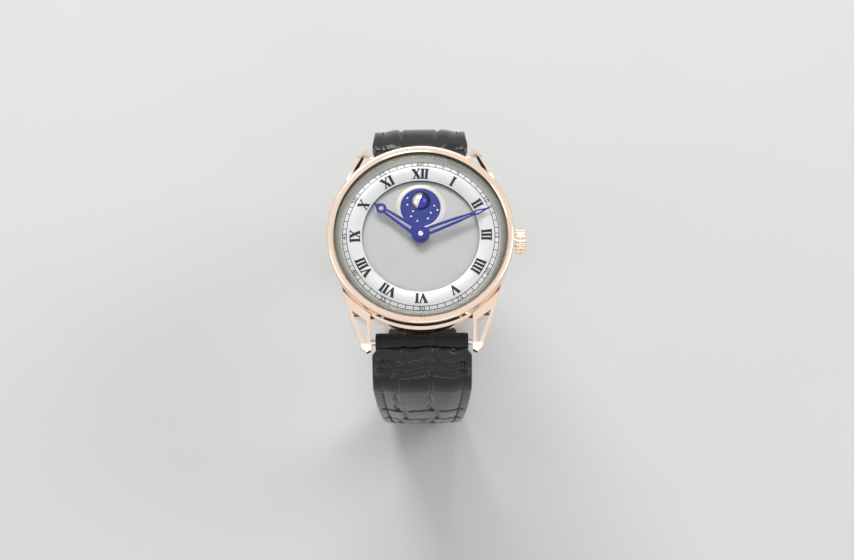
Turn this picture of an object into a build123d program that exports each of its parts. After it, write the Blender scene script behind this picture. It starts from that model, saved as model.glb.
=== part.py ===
from build123d import *
import os
from math import asin, atan2, cos, degrees, hypot, radians, sin, sqrt

# Moon phase wristwatch, in millimetres. +Z looks out of the dial, +Y is 12 o'clock, +X is 3 o'clock.
# The origin is on the axis of the hands, in the outer face of the back glass.

os.makedirs("parts", exist_ok=True)

# General clearances
overrun = 1.0
running_clearance = 0.05
seat_clearance = 0.3

# Case
case_radius = 22.0
bezel_wall = 1.6
bezel_height = 2.9
bezel_edge_radius = 0.7
bezel_lip_radius = 0.3
flank_radius = 21.4
flank_top_z = 4.0
flank_chamfer = 0.6
waist_radius = 20.4
waist_slope_height = 0.7
case_bore_radius = 18.6
crystal_foot_width = 1.0
crystal_foot_height = 0.95
crystal_thickness = 1.1
crystal_sag = 0.35
flange_width = 1.75
flange_drop = 1.25

# Case back
glass_thickness = 1.1
glass_radius = 16.6
back_ring_radius = 20.0
back_ring_recess = 0.15
back_ring_step = 0.7
back_ring_chamfer = 0.4
back_screw_circle_radius = 19.1
back_screw_head_radius = 0.65
back_screw_head_height = 0.35
back_screw_shank_radius = 0.35
back_screw_length = 2.4
back_screw_slot = 0.2
back_screw_count = 6
back_screw_start_angle = 30

# Levels of the movement, from the back glass to the dial
back_clearance = 0.3
winding_wheel_thickness = 0.35
bridge_clearance = 0.1
bridge_thickness = 1.1
train_space = 2.25
plate_thickness = 1.8
motion_space = 1.0
dial_thickness = 0.4
winding_wheel_z = glass_thickness + back_clearance
bridge_z = winding_wheel_z + winding_wheel_thickness + bridge_clearance
train_z = bridge_z + bridge_thickness
plate_z = train_z + train_space
motion_z = plate_z + plate_thickness
dial_z = motion_z + motion_space
dial_top_z = dial_z + dial_thickness
band_top_z = dial_top_z + 0.5 * dial_thickness
back_ring_top_z = glass_thickness + back_clearance + bridge_clearance

# Dial
chapter_inner_radius = 13.75
chapter_rise = 1.2
chapter_inner_rise = 0.85
chapter_outer_rise = 0.65
chapter_crest_share = 0.45
dial_centre_hole_radius = 1.35
sky_radius = 4.7
sky_thickness = 0.3
sky_place_y = 7.2
halo_width = 1.2
halo_rise = 0.12
chapter_z = dial_top_z + chapter_rise

# Moon
moon_radius = 2.4
moon_place_y = 8.9
moon_sink = 1.25
moon_lean = 21.0
moon_gap = 0.08
moon_arbor_radius = 0.25
moon_bevel_radius = 0.37
moon_bevel_tip_radius = 0.15
moon_bevel_distance = 5.03
moon_bearing_length = 0.6
moon_bearing_width = 1.0
moon_bearing_distances = (3.3, -3.0)
moon_arbor_tail = 3.5
moon_axis_z = dial_top_z + sky_thickness - moon_sink
moon_pocket_radius = moon_radius + 0.5 * seat_clearance

# Hands
hour_hand_gap = 0.38
hour_hand_thickness = 0.3
hands_gap = 0.15
minute_hand_thickness = 0.25
cap_height = 0.3
cap_edge_share = 0.6
crystal_gap = 0.2
hour_hand_angle = 305.7
minute_hand_angle = 68.5
hour_hand_length = 13.7
minute_hand_length = 17.9
hour_boss_radius = 2.1
minute_boss_radius = 1.5
hour_hand_z = chapter_z + hour_hand_gap
minute_hand_z = hour_hand_z + hour_hand_thickness + hands_gap
cap_z = minute_hand_z + minute_hand_thickness
crystal_z = cap_z + cap_height + crystal_gap

# Crown and winding stem, along X
stem_z = 4.2
stem_radius = 0.5
crown_radius = 3.2
crown_length = 2.3
crown_place_x = 22.4
crown_groove_width = 0.45
crown_groove_depth = 0.35
crown_flute_radius = 0.45
crown_flute_count = 18
crown_bore_radius = 1.2
crown_bore_depth = 0.6
crown_edge_radius = 0.5
crown_tube_radius = 1.1
crown_tube_length = 4.3

# Lugs and strap fixing
lug_gap_half = 12.0
lug_leg = 0.86
lug_arm = 0.8
lug_reach = 25.4
lug_root_top_z = 6.0
lug_knee_y = 18.5
lug_knee_top_z = 4.6
lug_tip_top_z = -0.3
lug_tip_z = -2.0
lug_root_z = 1.3
lug_shoulder_share = 0.888
lug_outline_shares = (
    (lug_shoulder_share, 0.386),
    (0.829, 0.573),
    (0.767, 0.755),
    (0.656, 0.97),
)
lug_inner_share = 0.3
lug_knee_arm_share = 0.4
lug_upper_arm_shares = (1.9, 3)
lug_tip_arm_shares = (0.6, 1.3)
lug_inner_slope_share = 0.9
lug_belly_share = 0.35
spring_bar_y = 23.0
spring_bar_z = -0.5
spring_bar_radius = 0.75
spring_bar_tip_radius = 0.45
spring_bar_tip_depth = 0.55

# Strap
strap_side_gap = 0.25
strap_width = 2 * (lug_gap_half - strap_side_gap)
strap_end_width = 18.0
strap_fixing_width = 21.8
strap_taper_top_z = -8.0
strap_taper_end_z = -58.0
strap_root_thickness = 4.2
strap_thickness = 2.6
strap_thinning_length = 42.0
lining_thickness = 0.9
strap_bend_radius = 9.0
strap_root_roll_radius = 2.1
strap_fixing_y = 24.8
strap_upper_length = 70.0
strap_foot_bend_radius = 12.0
strap_tip_y = 9.0
strap_tip_length = 7.0
strap_tip_half_width = 3.0
strap_hole_radius = 0.9
strap_hole_spacing = 6.5
strap_hole_count = 7
strap_hole_setback = 24.0
start_heading = -3.0
bend_heading = -85.0
upper_heading = -125.0
lower_heading = -112.0

# Buckle and keepers
buckle_bar_radius = 0.6
buckle_width = 22.4
buckle_arm = 1.8
buckle_reach = 11.5
buckle_thickness = 2.0
buckle_front = 2.2
buckle_ear_radius = 1.5
buckle_corner_radius = 2.6
tongue_width = 2.0
tongue_ring_radius = 1.35
tongue_thickness = 0.8
tongue_tip_length = 0.5
strap_end_roll_radius = 1.6
tongue_slot_radius = 2.8
tongue_slot_half_width = 1.35
keeper_width = 5.0
keeper_wall = 1.1
keeper_side_gap = 0.5
keeper_inner_gap = 0.5
keeper_outer_gap = 0.6
keeper_corner_radius = 0.7
fixed_keeper_setback = 10.0
free_keeper_setback = 26.0

# Movement layout, seen from the dial side
barrel_distance = 8.4
barrel_direction = 65.0
barrel_teeth = 72
barrel_module = 0.2
barrel_height = 1.3
barrel_wall = 0.5
barrel_tooth_height = 0.45
centre_teeth = 64
centre_module = 0.15
centre_pinion_teeth = 12
third_direction = -75.0
third_teeth = 60
third_module = 0.13
third_pinion_teeth = 8
fourth_direction = -170.0
fourth_teeth = 70
fourth_module = 0.11
fourth_pinion_teeth = 8
escape_direction = -160.0
escape_pinion_teeth = 7
escape_radius = 2.4
escape_teeth = 15
escape_root_radius = 1.9
pallet_direction = 130.0
pallet_distance = 3.1
pallet_stone_radius = 2.85
pallet_stone_angle = 30.0
pallet_stone_size = 0.28
pallet_hub_radius = 0.5
fork_reach = 2.5
fork_tip_radius = 0.3
pallet_cock_radius = 0.9
pallet_cock_gap = 0.1
pallet_cock_thickness = 0.4
pallet_cock_foot = (-12.2, -7.2)
balance_direction = 140.0
balance_distance = 3.4
balance_radius = 5.0
balance_rim = 0.6
balance_rim_height = 0.5
balance_arm = 0.5
balance_arm_height = 0.25
balance_arm_count = 3
balance_hub_radius = 0.6
balance_staff_radius = 0.2
balance_z = 2.6
balance_gap = 0.35
roller_radius = 1.0
roller_z = 3.85
roller_height = 0.25
impulse_pin_radius = 0.12
impulse_pin_distance = 0.75
impulse_pin_length = 0.4
cock_z = 1.6
cock_thickness = 0.5
cock_head_radius = 1.6
cock_foot_radius = 1.4
cock_foot_distance = 16.2
cock_foot_direction = -141.0
hairspring_z = 2.2
hairspring_height = 0.15
hairspring_band = 0.12
hairspring_inner_radius = 0.7
hairspring_pitch = 0.54
hairspring_half_turns = 10
mainspring_band = 0.15
mainspring_inner_radius = 1.15
mainspring_pitch = 0.66
mainspring_half_turns = 15
barrel_arbor_radius = 0.6
barrel_core_radius = 1.0
barrel_floor = 0.2
arbor_head_radius = 1.1
arbor_head_height = 0.15
wheel_thickness = 0.2
pinion_length = 0.5
arbor_radius = 0.3
pivot_radius = 0.12
pivot_length = 0.35
wheel_rim_share = 0.82
wheel_hub_share = 0.22
spoke_count = 4

# Winding work
winding_module = 0.2
crown_wheel_teeth = 40
ratchet_teeth = 57
winding_pinion_teeth = 24
winding_pinion_length = 1.2
sliding_pinion_radius = 1.1
sliding_pinion_length = 1.5
sliding_pinion_gap = 0.9
stem_pilot_x = 7.8
stem_block_half = 0.95
stem_block_bottom_z = 3.4
stem_inner_block_x = 7.6
stem_inner_block_length = 1.7
stem_outer_block_x = 16.8
stem_outer_block_length = 1.6
setting_groove_x = 15.4
setting_groove_radius = 0.3
setting_groove_width = 0.64
setting_lever_radius = 0.7
setting_lever_tip_radius = 0.55
setting_lever_thickness = 0.3
setting_lever_reach = 3.6
setting_pin_radius = 0.25
click_distance = 7.6
click_direction = 170.0
click_hub_radius = 0.8
click_tip_radius = 0.15
click_tip_direction = 150.0
crown_wheel_boss_radius = 1.2
wheel_screw_radius = 1.6

# Plates, bridges, jewels and screws
plate_radius = case_bore_radius
plate_rim = 0.9
bridge_radius = 17.8
bridge_split_y = 1.45
bridge_split_x = 4.05
bridge_split_low_y = -5.15
bridge_split_gap = 0.3
pillar_radius = 1.2
jewel_radius = 0.75
jewel_thickness = 0.8
plate_jewel_thickness = 0.4
bridge_screw_head_radius = 0.8
bridge_screw_head_height = 0.4
bridge_screw_radius = 0.45
bridge_screw_slot = 0.22
bridge_screw_grip = 1.0
barrel_bridge_screws = ((-8.5, 9.5), (12.2, 6.0), (13.0, -3.9))
train_bridge_screws = ((-3.5, -12.5), (7.5, -10.5), (12.0, -8.2))

# Motion work and moon train
cannon_teeth = 12
minute_wheel_teeth = 36
minute_wheel_module = 0.125
minute_pinion_teeth = 10
hour_wheel_teeth = 40
hour_wheel_module = 0.12
minute_wheel_direction = -60.0
cannon_pipe_radius = 0.62
hour_pipe_radius = 1.1
moon_drive_teeth = 80
moon_drive_direction = 30.0
moon_star_direction = -19.2
moon_star_teeth = 59
moon_star_radius = 4.0
moon_star_depth = 0.3
moon_gear_teeth = 38
moon_gear_module = 0.12
motion_step = 0.1
centre_wheel_drop_share = 5
barrel_lift_share = 4
fourth_wheel_lift_share = 6
third_wheel_lift_share = 2.25
escape_wheel_lift_share = 3
second_motion_step_share = 1.5
post_foot_step_share = 8
pocket_clearance_share = 3
pocket_end_clearance_share = 4

# Gear tooth proportions
tooth_root_share = 1.25
tooth_tip_share = 0.9
ratchet_tip_share = 0.15
tooth_base_share = 0.29
tooth_crest_share = 0.12


def level(place, height):
    """Horizontal plane at a height, with its origin over a place in plan."""
    return Plane(origin=(place[0], place[1], height))


def polar(radius, angle, centre=(0, 0)):
    """Point at a radius and an angle in degrees from a centre."""
    return (centre[0] + radius * cos(radians(angle)), centre[1] + radius * sin(radians(angle)))


def pitch_radius(teeth, module):
    """Radius of the circle on which two wheels of this module roll."""
    return 0.5 * teeth * module


def dome_radius(half_width, rise):
    """Radius of the sphere that rises this much over a half width."""
    return 0.5 * (half_width ** 2 + rise ** 2) / rise


def tooth_points(teeth, module, turn):
    """Outline of a spur wheel with one tooth pointing along turn, in degrees."""
    pitch = 360 / teeth
    root = module * (0.5 * teeth - tooth_root_share)
    tip = module * (0.5 * teeth + tooth_tip_share)
    corners = (
        (root, -tooth_base_share),
        (tip, -tooth_crest_share),
        (tip, tooth_crest_share),
        (root, tooth_base_share),
    )
    points = []
    for tooth in range(teeth):
        for radius, side in corners:
            points.append(polar(radius, turn + (tooth + side) * pitch))
    return points


def ratchet_points(teeth, root, tip, turn):
    """Outline of a wheel with pointed one-way teeth."""
    pitch = 360 / teeth
    points = []
    for tooth in range(teeth):
        points.append(polar(root, turn + tooth * pitch))
        points.append(polar(tip, turn + (tooth + ratchet_tip_share) * pitch))
    return points


def spoked_wheel(place, outline, body_radius, wheel_z, pinion, arbor_top_z=None):
    """Toothed wheel with crossings, an arbor and its pivots and a pinion at its own level."""
    rim = wheel_rim_share * body_radius
    hub = wheel_hub_share * body_radius
    with BuildPart() as wheel:
        with BuildSketch(level(place, wheel_z)):
            Polygon(*outline)
            with BuildSketch(mode=Mode.PRIVATE) as crossings:
                Circle(rim)
                Circle(hub, mode=Mode.SUBTRACT)
                with PolarLocations(0, spoke_count):
                    Rectangle(2 * rim, hub, align=(Align.MIN, Align.CENTER), mode=Mode.SUBTRACT)
            add(crossings.sketch, mode=Mode.SUBTRACT)
        extrude(amount=wheel_thickness)
        pinion_outline, pinion_z = pinion
        with BuildSketch(level(place, pinion_z)):
            Polygon(*pinion_outline)
        extrude(amount=pinion_length)
        arbor_bottom_z = train_z + running_clearance
        arbor_height = (arbor_top_z or plate_z - running_clearance) - arbor_bottom_z
        with BuildSketch(level(place, arbor_bottom_z)):
            Circle(arbor_radius)
        extrude(amount=arbor_height)
        with BuildSketch(level(place, arbor_bottom_z - pivot_length)):
            Circle(pivot_radius)
        extrude(amount=pivot_length + (arbor_height if arbor_top_z else arbor_height + pivot_length))
    return wheel


def motion_wheel(place, layers, post_radius, post_z, post_top_z, bore_radius=0):
    """Wheel of the motion work or moon train: flat layers on a post or pipe, with an optional bore."""
    with BuildPart() as wheel:
        for points, layer_z, thickness in layers:
            with BuildSketch(level(place, layer_z)):
                Polygon(*points)
            extrude(amount=thickness)
        with BuildSketch(level(place, post_z)):
            Circle(post_radius)
        extrude(amount=post_top_z - post_z)
        if bore_radius:
            with BuildSketch(level(place, post_z - overrun)):
                Circle(bore_radius)
            extrude(amount=post_top_z - post_z + 2 * overrun, mode=Mode.SUBTRACT)
    return wheel


# Places of the train in plan
barrel_place = polar(barrel_distance, barrel_direction)
third_distance = pitch_radius(centre_teeth + third_pinion_teeth, centre_module)
third_place = polar(third_distance, third_direction)
fourth_distance = pitch_radius(third_teeth + fourth_pinion_teeth, third_module)
fourth_place = polar(fourth_distance, fourth_direction, third_place)
escape_distance = pitch_radius(fourth_teeth + escape_pinion_teeth, fourth_module)
escape_place = polar(escape_distance, escape_direction, fourth_place)
pallet_place = polar(pallet_distance, pallet_direction, escape_place)
balance_place = polar(balance_distance, balance_direction, pallet_place)
crown_wheel_gap = pitch_radius(crown_wheel_teeth + ratchet_teeth, winding_module)
crown_wheel_x = barrel_place[0] + sqrt(crown_wheel_gap ** 2 - barrel_place[1] ** 2)
crown_wheel_place = (crown_wheel_x, 0)
winding_pinion_x = crown_wheel_x + pitch_radius(crown_wheel_teeth, winding_module)
winding_pinion_radius = stem_z - winding_wheel_z - winding_wheel_thickness - running_clearance
minute_wheel_distance = pitch_radius(cannon_teeth + minute_wheel_teeth, minute_wheel_module)
minute_wheel_place = polar(minute_wheel_distance, minute_wheel_direction)
moon_drive_distance = pitch_radius(hour_wheel_teeth + moon_drive_teeth, hour_wheel_module)
moon_drive_place = polar(moon_drive_distance, moon_drive_direction)
moon_place = (0, moon_place_y)
moon_axis_direction = 90 - moon_lean
moon_bevel_place = polar(moon_bevel_distance, moon_axis_direction, moon_place)
moon_gears_gap = 2 * pitch_radius(moon_gear_teeth, moon_gear_module)
moon_star_place = polar(moon_gears_gap, moon_star_direction, moon_bevel_place)
cock_foot_place = polar(cock_foot_distance, cock_foot_direction)
click_place = polar(click_distance, click_direction, barrel_place)

# Levels of the wheels
centre_wheel_z = plate_z - wheel_thickness - centre_wheel_drop_share * running_clearance
barrel_z = train_z + barrel_lift_share * running_clearance
fourth_wheel_z = train_z + fourth_wheel_lift_share * running_clearance
third_wheel_z = fourth_wheel_z + third_wheel_lift_share * wheel_thickness
escape_wheel_z = third_wheel_z + escape_wheel_lift_share * wheel_thickness
first_motion_z = motion_z + motion_step
second_motion_z = first_motion_z + wheel_thickness + second_motion_step_share * motion_step
third_motion_z = second_motion_z + wheel_thickness + motion_step
moon_gear_z = motion_z - wheel_thickness - 0.5 * motion_step
moon_gear_pocket_z = moon_gear_z - motion_step
post_foot_z = motion_z - post_foot_step_share * motion_step

# Case band: lower rim, recess under the bezel and the seat of the back ring
with BuildPart() as case_band:
    with BuildSketch(Plane.XZ):
        with BuildLine():
            Polyline(
                (case_bore_radius, back_ring_top_z),
                (back_ring_radius, back_ring_top_z),
                (back_ring_radius, back_ring_recess + back_ring_chamfer),
                (flank_radius - flank_chamfer, back_ring_recess + back_ring_chamfer),
                (flank_radius, back_ring_recess + back_ring_chamfer + flank_chamfer),
                (flank_radius, flank_top_z),
                (waist_radius, flank_top_z + waist_slope_height),
                (waist_radius, band_top_z - waist_slope_height),
                (flank_radius - 0.5 * flank_chamfer, band_top_z),
                (case_bore_radius, band_top_z),
                close=True,
            )
        make_face()
    revolve(axis=Axis.Z)
    with BuildSketch(Plane.YZ.offset(0.5 * case_radius)):
        with Locations((0, stem_z)):
            Circle(crown_tube_radius)
    extrude(amount=case_radius, mode=Mode.SUBTRACT)
    screw_plane = Plane.XY.offset(back_ring_top_z - running_clearance)
    with BuildSketch(screw_plane):
        with PolarLocations(back_screw_circle_radius, back_screw_count, start_angle=back_screw_start_angle):
            Circle(back_screw_shank_radius)
    extrude(amount=back_screw_length, mode=Mode.SUBTRACT)
case_band.part.label = "case_band"
export_step(case_band.part, "parts/case_band.step")

bezel_inner_radius = case_radius - bezel_wall
bezel_top_z = band_top_z + bezel_height
with BuildPart() as bezel:
    with BuildSketch(Plane.XZ):
        with Locations((bezel_inner_radius, band_top_z)):
            Rectangle(bezel_wall, bezel_height, align=Align.MIN)
    revolve(axis=Axis.Z)
    top_edges = bezel.edges().group_by(Axis.Z)[-1].sort_by(SortBy.LENGTH)
    fillet(top_edges[-1], bezel_edge_radius)
    inner_edge = bezel.edges().group_by(Axis.Z)[-1].sort_by(SortBy.LENGTH)[0]
    chamfer(inner_edge, bezel_lip_radius)
bezel.part.label = "bezel"
export_step(bezel.part, "parts/bezel.step")

# Domed crystal: flat enough to clear the hands, and let into the bezel
crystal_edge_z = bezel_top_z - bezel_lip_radius
crystal_seat_z = crystal_edge_z - crystal_foot_height
crystal_inner_radius = bezel_inner_radius - crystal_foot_width
crystal_top_z = crystal_z + crystal_thickness
inner_dome = dome_radius(crystal_inner_radius, crystal_sag)
outer_dome = dome_radius(bezel_inner_radius, crystal_top_z - crystal_edge_z)
with BuildPart() as crystal:
    with BuildSketch(Plane.XZ):
        with BuildLine():
            CenterArc((0, crystal_z - inner_dome), inner_dome, 90, -degrees(asin(crystal_inner_radius / inner_dome)))
            Polyline(
                (crystal_inner_radius, crystal_z - crystal_sag),
                (crystal_inner_radius, crystal_seat_z),
                (bezel_inner_radius, crystal_seat_z),
                (bezel_inner_radius, crystal_edge_z),
            )
            CenterArc((0, crystal_top_z - outer_dome), outer_dome, 90, -degrees(asin(bezel_inner_radius / outer_dome)))
            Line((0, crystal_top_z), (0, crystal_z))
        make_face()
    revolve(axis=Axis.Z)
crystal.part.label = "crystal"
export_step(crystal.part, "parts/crystal.step")

# Sloped satin flange between the dial and the crystal
flange_foot_radius = bezel_inner_radius - flange_width
with BuildPart() as inner_flange:
    with BuildSketch(Plane.XZ):
        with BuildLine():
            Polyline(
                (flange_foot_radius, band_top_z),
                (bezel_inner_radius, band_top_z),
                (bezel_inner_radius, crystal_seat_z),
                (crystal_inner_radius + 0.5 * crystal_foot_width, crystal_seat_z),
                (flange_foot_radius, crystal_seat_z - flange_drop),
                close=True,
            )
        make_face()
    revolve(axis=Axis.Z)
inner_flange.part.label = "inner_flange"
export_step(inner_flange.part, "parts/inner_flange.step")

# Lugs: a rounded triangular frame in plan, swept down to the tip in profile

def lug_plan():
    """Outer points of a lug in plan, from its shoulder to the tip and back along the strap side."""
    points = [(x * flank_radius, y * lug_reach) for x, y in lug_outline_shares]
    points.append((0.5 * (points[-1][0] + lug_gap_half), lug_reach))
    points.append((lug_gap_half, lug_reach - 0.5 * lug_leg))
    points.append((lug_gap_half, 0.5 * lug_reach))
    points.append((lug_gap_half, lug_inner_share * lug_reach))
    return points


def lug_opening():
    """Points of the opening of a lug, inside the leg beside the strap and the outer arm."""
    upper, knee, tip = lug_outline_shares[1:]
    inner_x = lug_gap_half + lug_leg
    knee_point = (knee[0] * flank_radius - lug_arm, knee[1] * lug_reach - lug_knee_arm_share * lug_arm)
    across, along = lug_upper_arm_shares
    upper_point = (upper[0] * flank_radius - across * lug_arm, upper[1] * lug_reach + along * lug_arm)
    across, along = lug_tip_arm_shares
    tip_point = (tip[0] * flank_radius - across * lug_arm, tip[1] * lug_reach - along * lug_arm)
    slope_run = inner_x - lug_gap_half + 2 * lug_arm
    return [
        upper_point,
        knee_point,
        tip_point,
        (inner_x, tip_point[1]),
        (inner_x, upper_point[1] + lug_inner_slope_share * slope_run),
    ]


for end_name, end_side in (("upper", 1), ("lower", -1)):
    with BuildPart() as lugs:
        with BuildSketch(Plane.XY.offset(lug_tip_z - overrun)):
            for side in (1, -1):
                with BuildSketch(mode=Mode.PRIVATE) as lug_face:
                    Polygon(*[(side * x, end_side * y) for x, y in lug_plan()])
                    Circle(flank_radius, mode=Mode.SUBTRACT)
                    opening = [(side * x, end_side * y) for x, y in lug_opening()]
                    Polygon(*opening, mode=Mode.SUBTRACT)
                add(lug_face.sketch)
        extrude(amount=lug_root_top_z - lug_tip_z + 2 * overrun)
        with BuildSketch(Plane.YZ):
            with BuildLine():
                near_y = end_side * lug_inner_share * lug_reach
                knee_y = end_side * lug_knee_y
                tip_y = end_side * lug_reach
                ThreePointArc(
                    (near_y, lug_root_top_z),
                    (knee_y, lug_knee_top_z),
                    (tip_y, lug_tip_top_z),
                )
                Line((tip_y, lug_tip_top_z), (tip_y, lug_tip_z))
                ThreePointArc(
                    (tip_y, lug_tip_z),
                    (knee_y, lug_root_z - lug_belly_share * (lug_root_z - lug_tip_z)),
                    (near_y, lug_root_z),
                )
                Line((near_y, lug_root_z), (near_y, lug_root_top_z))
            make_face()
        extrude(amount=case_radius, both=True, mode=Mode.INTERSECT)
        bar_plane = Plane(origin=(0, end_side * spring_bar_y, spring_bar_z), z_dir=(1, 0, 0))
        with BuildSketch(bar_plane):
            Circle(spring_bar_tip_radius)
        extrude(amount=lug_gap_half + spring_bar_tip_depth, both=True, mode=Mode.SUBTRACT)
    lugs.part.label = f"lugs_{end_name}"
    export_step(lugs.part, f"parts/lugs_{end_name}.step")

# Spring bars: two tubes with a tip at each end that sits in the lugs
with BuildPart() as spring_bars:
    for end_side in (1, -1):
        bar_plane = Plane(origin=(0, end_side * spring_bar_y, spring_bar_z), z_dir=(1, 0, 0))
        with BuildSketch(bar_plane):
            Circle(spring_bar_radius)
        extrude(amount=lug_gap_half - running_clearance, both=True)
        with BuildSketch(bar_plane):
            Circle(spring_bar_tip_radius)
        extrude(amount=lug_gap_half + spring_bar_tip_depth, both=True)
spring_bars.part.label = "spring_bars"
export_step(spring_bars.part, "parts/spring_bars.step")

# Case back: ring, sapphire glass and six slotted screws
with BuildPart() as case_back_ring:
    with BuildSketch(Plane.XZ):
        with BuildLine():
            Polyline(
                (glass_radius, back_ring_recess),
                (back_ring_radius - back_ring_chamfer, back_ring_recess),
                (back_ring_radius, back_ring_recess + back_ring_chamfer),
                (back_ring_radius, back_ring_top_z),
                (glass_radius - back_ring_step, back_ring_top_z),
                (glass_radius - back_ring_step, glass_thickness),
                (glass_radius, glass_thickness),
                close=True,
            )
        make_face()
    revolve(axis=Axis.Z)
    with BuildSketch(Plane.XY.offset(back_ring_recess - overrun)):
        with PolarLocations(back_screw_circle_radius, back_screw_count, start_angle=back_screw_start_angle):
            Circle(back_screw_head_radius)
    extrude(amount=overrun + back_screw_head_height, mode=Mode.SUBTRACT)
    with BuildSketch(Plane.XY):
        with PolarLocations(back_screw_circle_radius, back_screw_count, start_angle=back_screw_start_angle):
            Circle(back_screw_shank_radius)
    extrude(amount=back_screw_length, mode=Mode.SUBTRACT)
case_back_ring.part.label = "case_back_ring"
export_step(case_back_ring.part, "parts/case_back_ring.step")

with BuildPart() as case_back_glass:
    with BuildSketch(Plane.XY):
        Circle(glass_radius)
    extrude(amount=glass_thickness)
    chamfer(case_back_glass.edges().group_by(Axis.Z)[0], back_ring_recess)
case_back_glass.part.label = "case_back_glass"
export_step(case_back_glass.part, "parts/case_back_glass.step")

with BuildPart() as case_back_screws:
    with BuildSketch(Plane.XY.offset(back_ring_recess)):
        with PolarLocations(back_screw_circle_radius, back_screw_count, start_angle=back_screw_start_angle):
            Circle(back_screw_head_radius)
    extrude(amount=back_screw_head_height)
    with BuildSketch(Plane.XY.offset(back_ring_recess)):
        with PolarLocations(back_screw_circle_radius, back_screw_count, start_angle=back_screw_start_angle):
            Circle(back_screw_shank_radius)
    extrude(amount=back_screw_length)
    with BuildSketch(Plane.XY.offset(back_ring_recess)):
        with PolarLocations(back_screw_circle_radius, back_screw_count, start_angle=back_screw_start_angle):
            Rectangle(2 * back_screw_head_radius + back_screw_slot, back_screw_slot)
    extrude(amount=back_screw_slot, mode=Mode.SUBTRACT)
case_back_screws.part.label = "case_back_screws"
export_step(case_back_screws.part, "parts/case_back_screws.step")

# Dial: base plate with the moon opening, domed chapter ring and the sky disc
halo_radius = sky_radius + halo_width
moon_axis = Vector(*polar(1, moon_axis_direction), 0)
with BuildPart() as dial_plate:
    with BuildSketch(Plane.XY.offset(dial_z)):
        Circle(case_bore_radius)
        Circle(dial_centre_hole_radius, mode=Mode.SUBTRACT)
        with Locations(moon_place):
            Circle(moon_pocket_radius, mode=Mode.SUBTRACT)
    extrude(amount=dial_thickness)
    with BuildSketch(Plane.XY.offset(dial_top_z)):
        with Locations((0, sky_place_y)):
            Circle(halo_radius)
            Circle(sky_radius, mode=Mode.SUBTRACT)
        Circle(dial_centre_hole_radius, mode=Mode.SUBTRACT)
    extrude(amount=halo_rise)
    for distance in moon_bearing_distances:
        bearing_place = polar(distance, moon_axis_direction, moon_place)
        bearing_plane = level(bearing_place, motion_z + 0.5 * running_clearance)
        with BuildSketch(bearing_plane.rotated((0, 0, moon_axis_direction))):
            Rectangle(moon_bearing_length, moon_bearing_width)
        extrude(amount=motion_space - 0.5 * running_clearance)
    with BuildSketch(Plane(origin=(*moon_place, moon_axis_z), z_dir=moon_axis)):
        Circle(moon_arbor_radius + running_clearance)
    extrude(amount=2 * moon_arbor_tail, both=True, mode=Mode.SUBTRACT)
dial_plate.part.label = "dial_plate"
export_step(dial_plate.part, "parts/dial_plate.step")

with BuildPart() as chapter_ring:
    with BuildSketch(Plane.XZ):
        chapter_width = flange_foot_radius - chapter_inner_radius
        crest_radius = chapter_inner_radius + chapter_crest_share * chapter_width
        with BuildLine():
            Polyline(
                (chapter_inner_radius, dial_top_z + chapter_inner_rise),
                (chapter_inner_radius, dial_top_z),
                (case_bore_radius, dial_top_z),
                (case_bore_radius, dial_top_z + chapter_outer_rise),
            )
            ThreePointArc(
                (case_bore_radius, dial_top_z + chapter_outer_rise),
                (crest_radius, chapter_z),
                (chapter_inner_radius, dial_top_z + chapter_inner_rise),
            )
        make_face()
    revolve(axis=Axis.Z)
chapter_ring.part.label = "chapter_ring"
export_step(chapter_ring.part, "parts/chapter_ring.step")

with BuildPart() as moon_sky_disc:
    with BuildSketch(Plane.XY.offset(dial_top_z)):
        with Locations((0, sky_place_y)):
            Circle(sky_radius)
        with Locations(moon_place):
            Circle(moon_radius - moon_gap, mode=Mode.SUBTRACT)
    extrude(amount=sky_thickness)
moon_sky_disc.part.label = "moon_sky_disc"
export_step(moon_sky_disc.part, "parts/moon_sky_disc.step")

# Moon: two half spheres on one arbor, which lies in the plane of the dial
moon_centre = (0, moon_place_y, moon_axis_z)
moon_side = Vector(*polar(1, moon_axis_direction - 90), 0)
for half_name, half_side in (("moon_dark_half", 1), ("moon_light_half", -1)):
    with BuildPart() as moon_half:
        with Locations(moon_centre):
            Sphere(moon_radius)
        split(bisect_by=Plane(origin=moon_centre, z_dir=moon_side * half_side), keep=Keep.TOP)
        with BuildSketch(Plane(origin=moon_centre, z_dir=moon_axis)):
            Circle(moon_arbor_radius)
        extrude(amount=moon_radius, both=True, mode=Mode.SUBTRACT)
    moon_half.part.label = half_name
    export_step(moon_half.part, f"parts/{half_name}.step")


def along_moon_axis(distance):
    """Plane square to the moon's arbor, at a distance from the middle of the moon."""
    return Plane(origin=Vector(*moon_centre) + moon_axis * distance, z_dir=moon_axis)


moon_bevel_foot = moon_bevel_distance - moon_bevel_radius
with BuildPart() as moon_arbor:
    with BuildSketch(along_moon_axis(-moon_arbor_tail)):
        Circle(moon_arbor_radius)
    extrude(amount=moon_arbor_tail + moon_bevel_foot)
    with BuildSketch(along_moon_axis(moon_bevel_foot)):
        Circle(moon_bevel_radius - running_clearance)
    with BuildSketch(along_moon_axis(moon_bevel_distance - moon_bevel_tip_radius)):
        Circle(moon_bevel_tip_radius - running_clearance)
    loft()
moon_arbor.part.label = "moon_arbor"
export_step(moon_arbor.part, "parts/moon_arbor.step")

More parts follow.
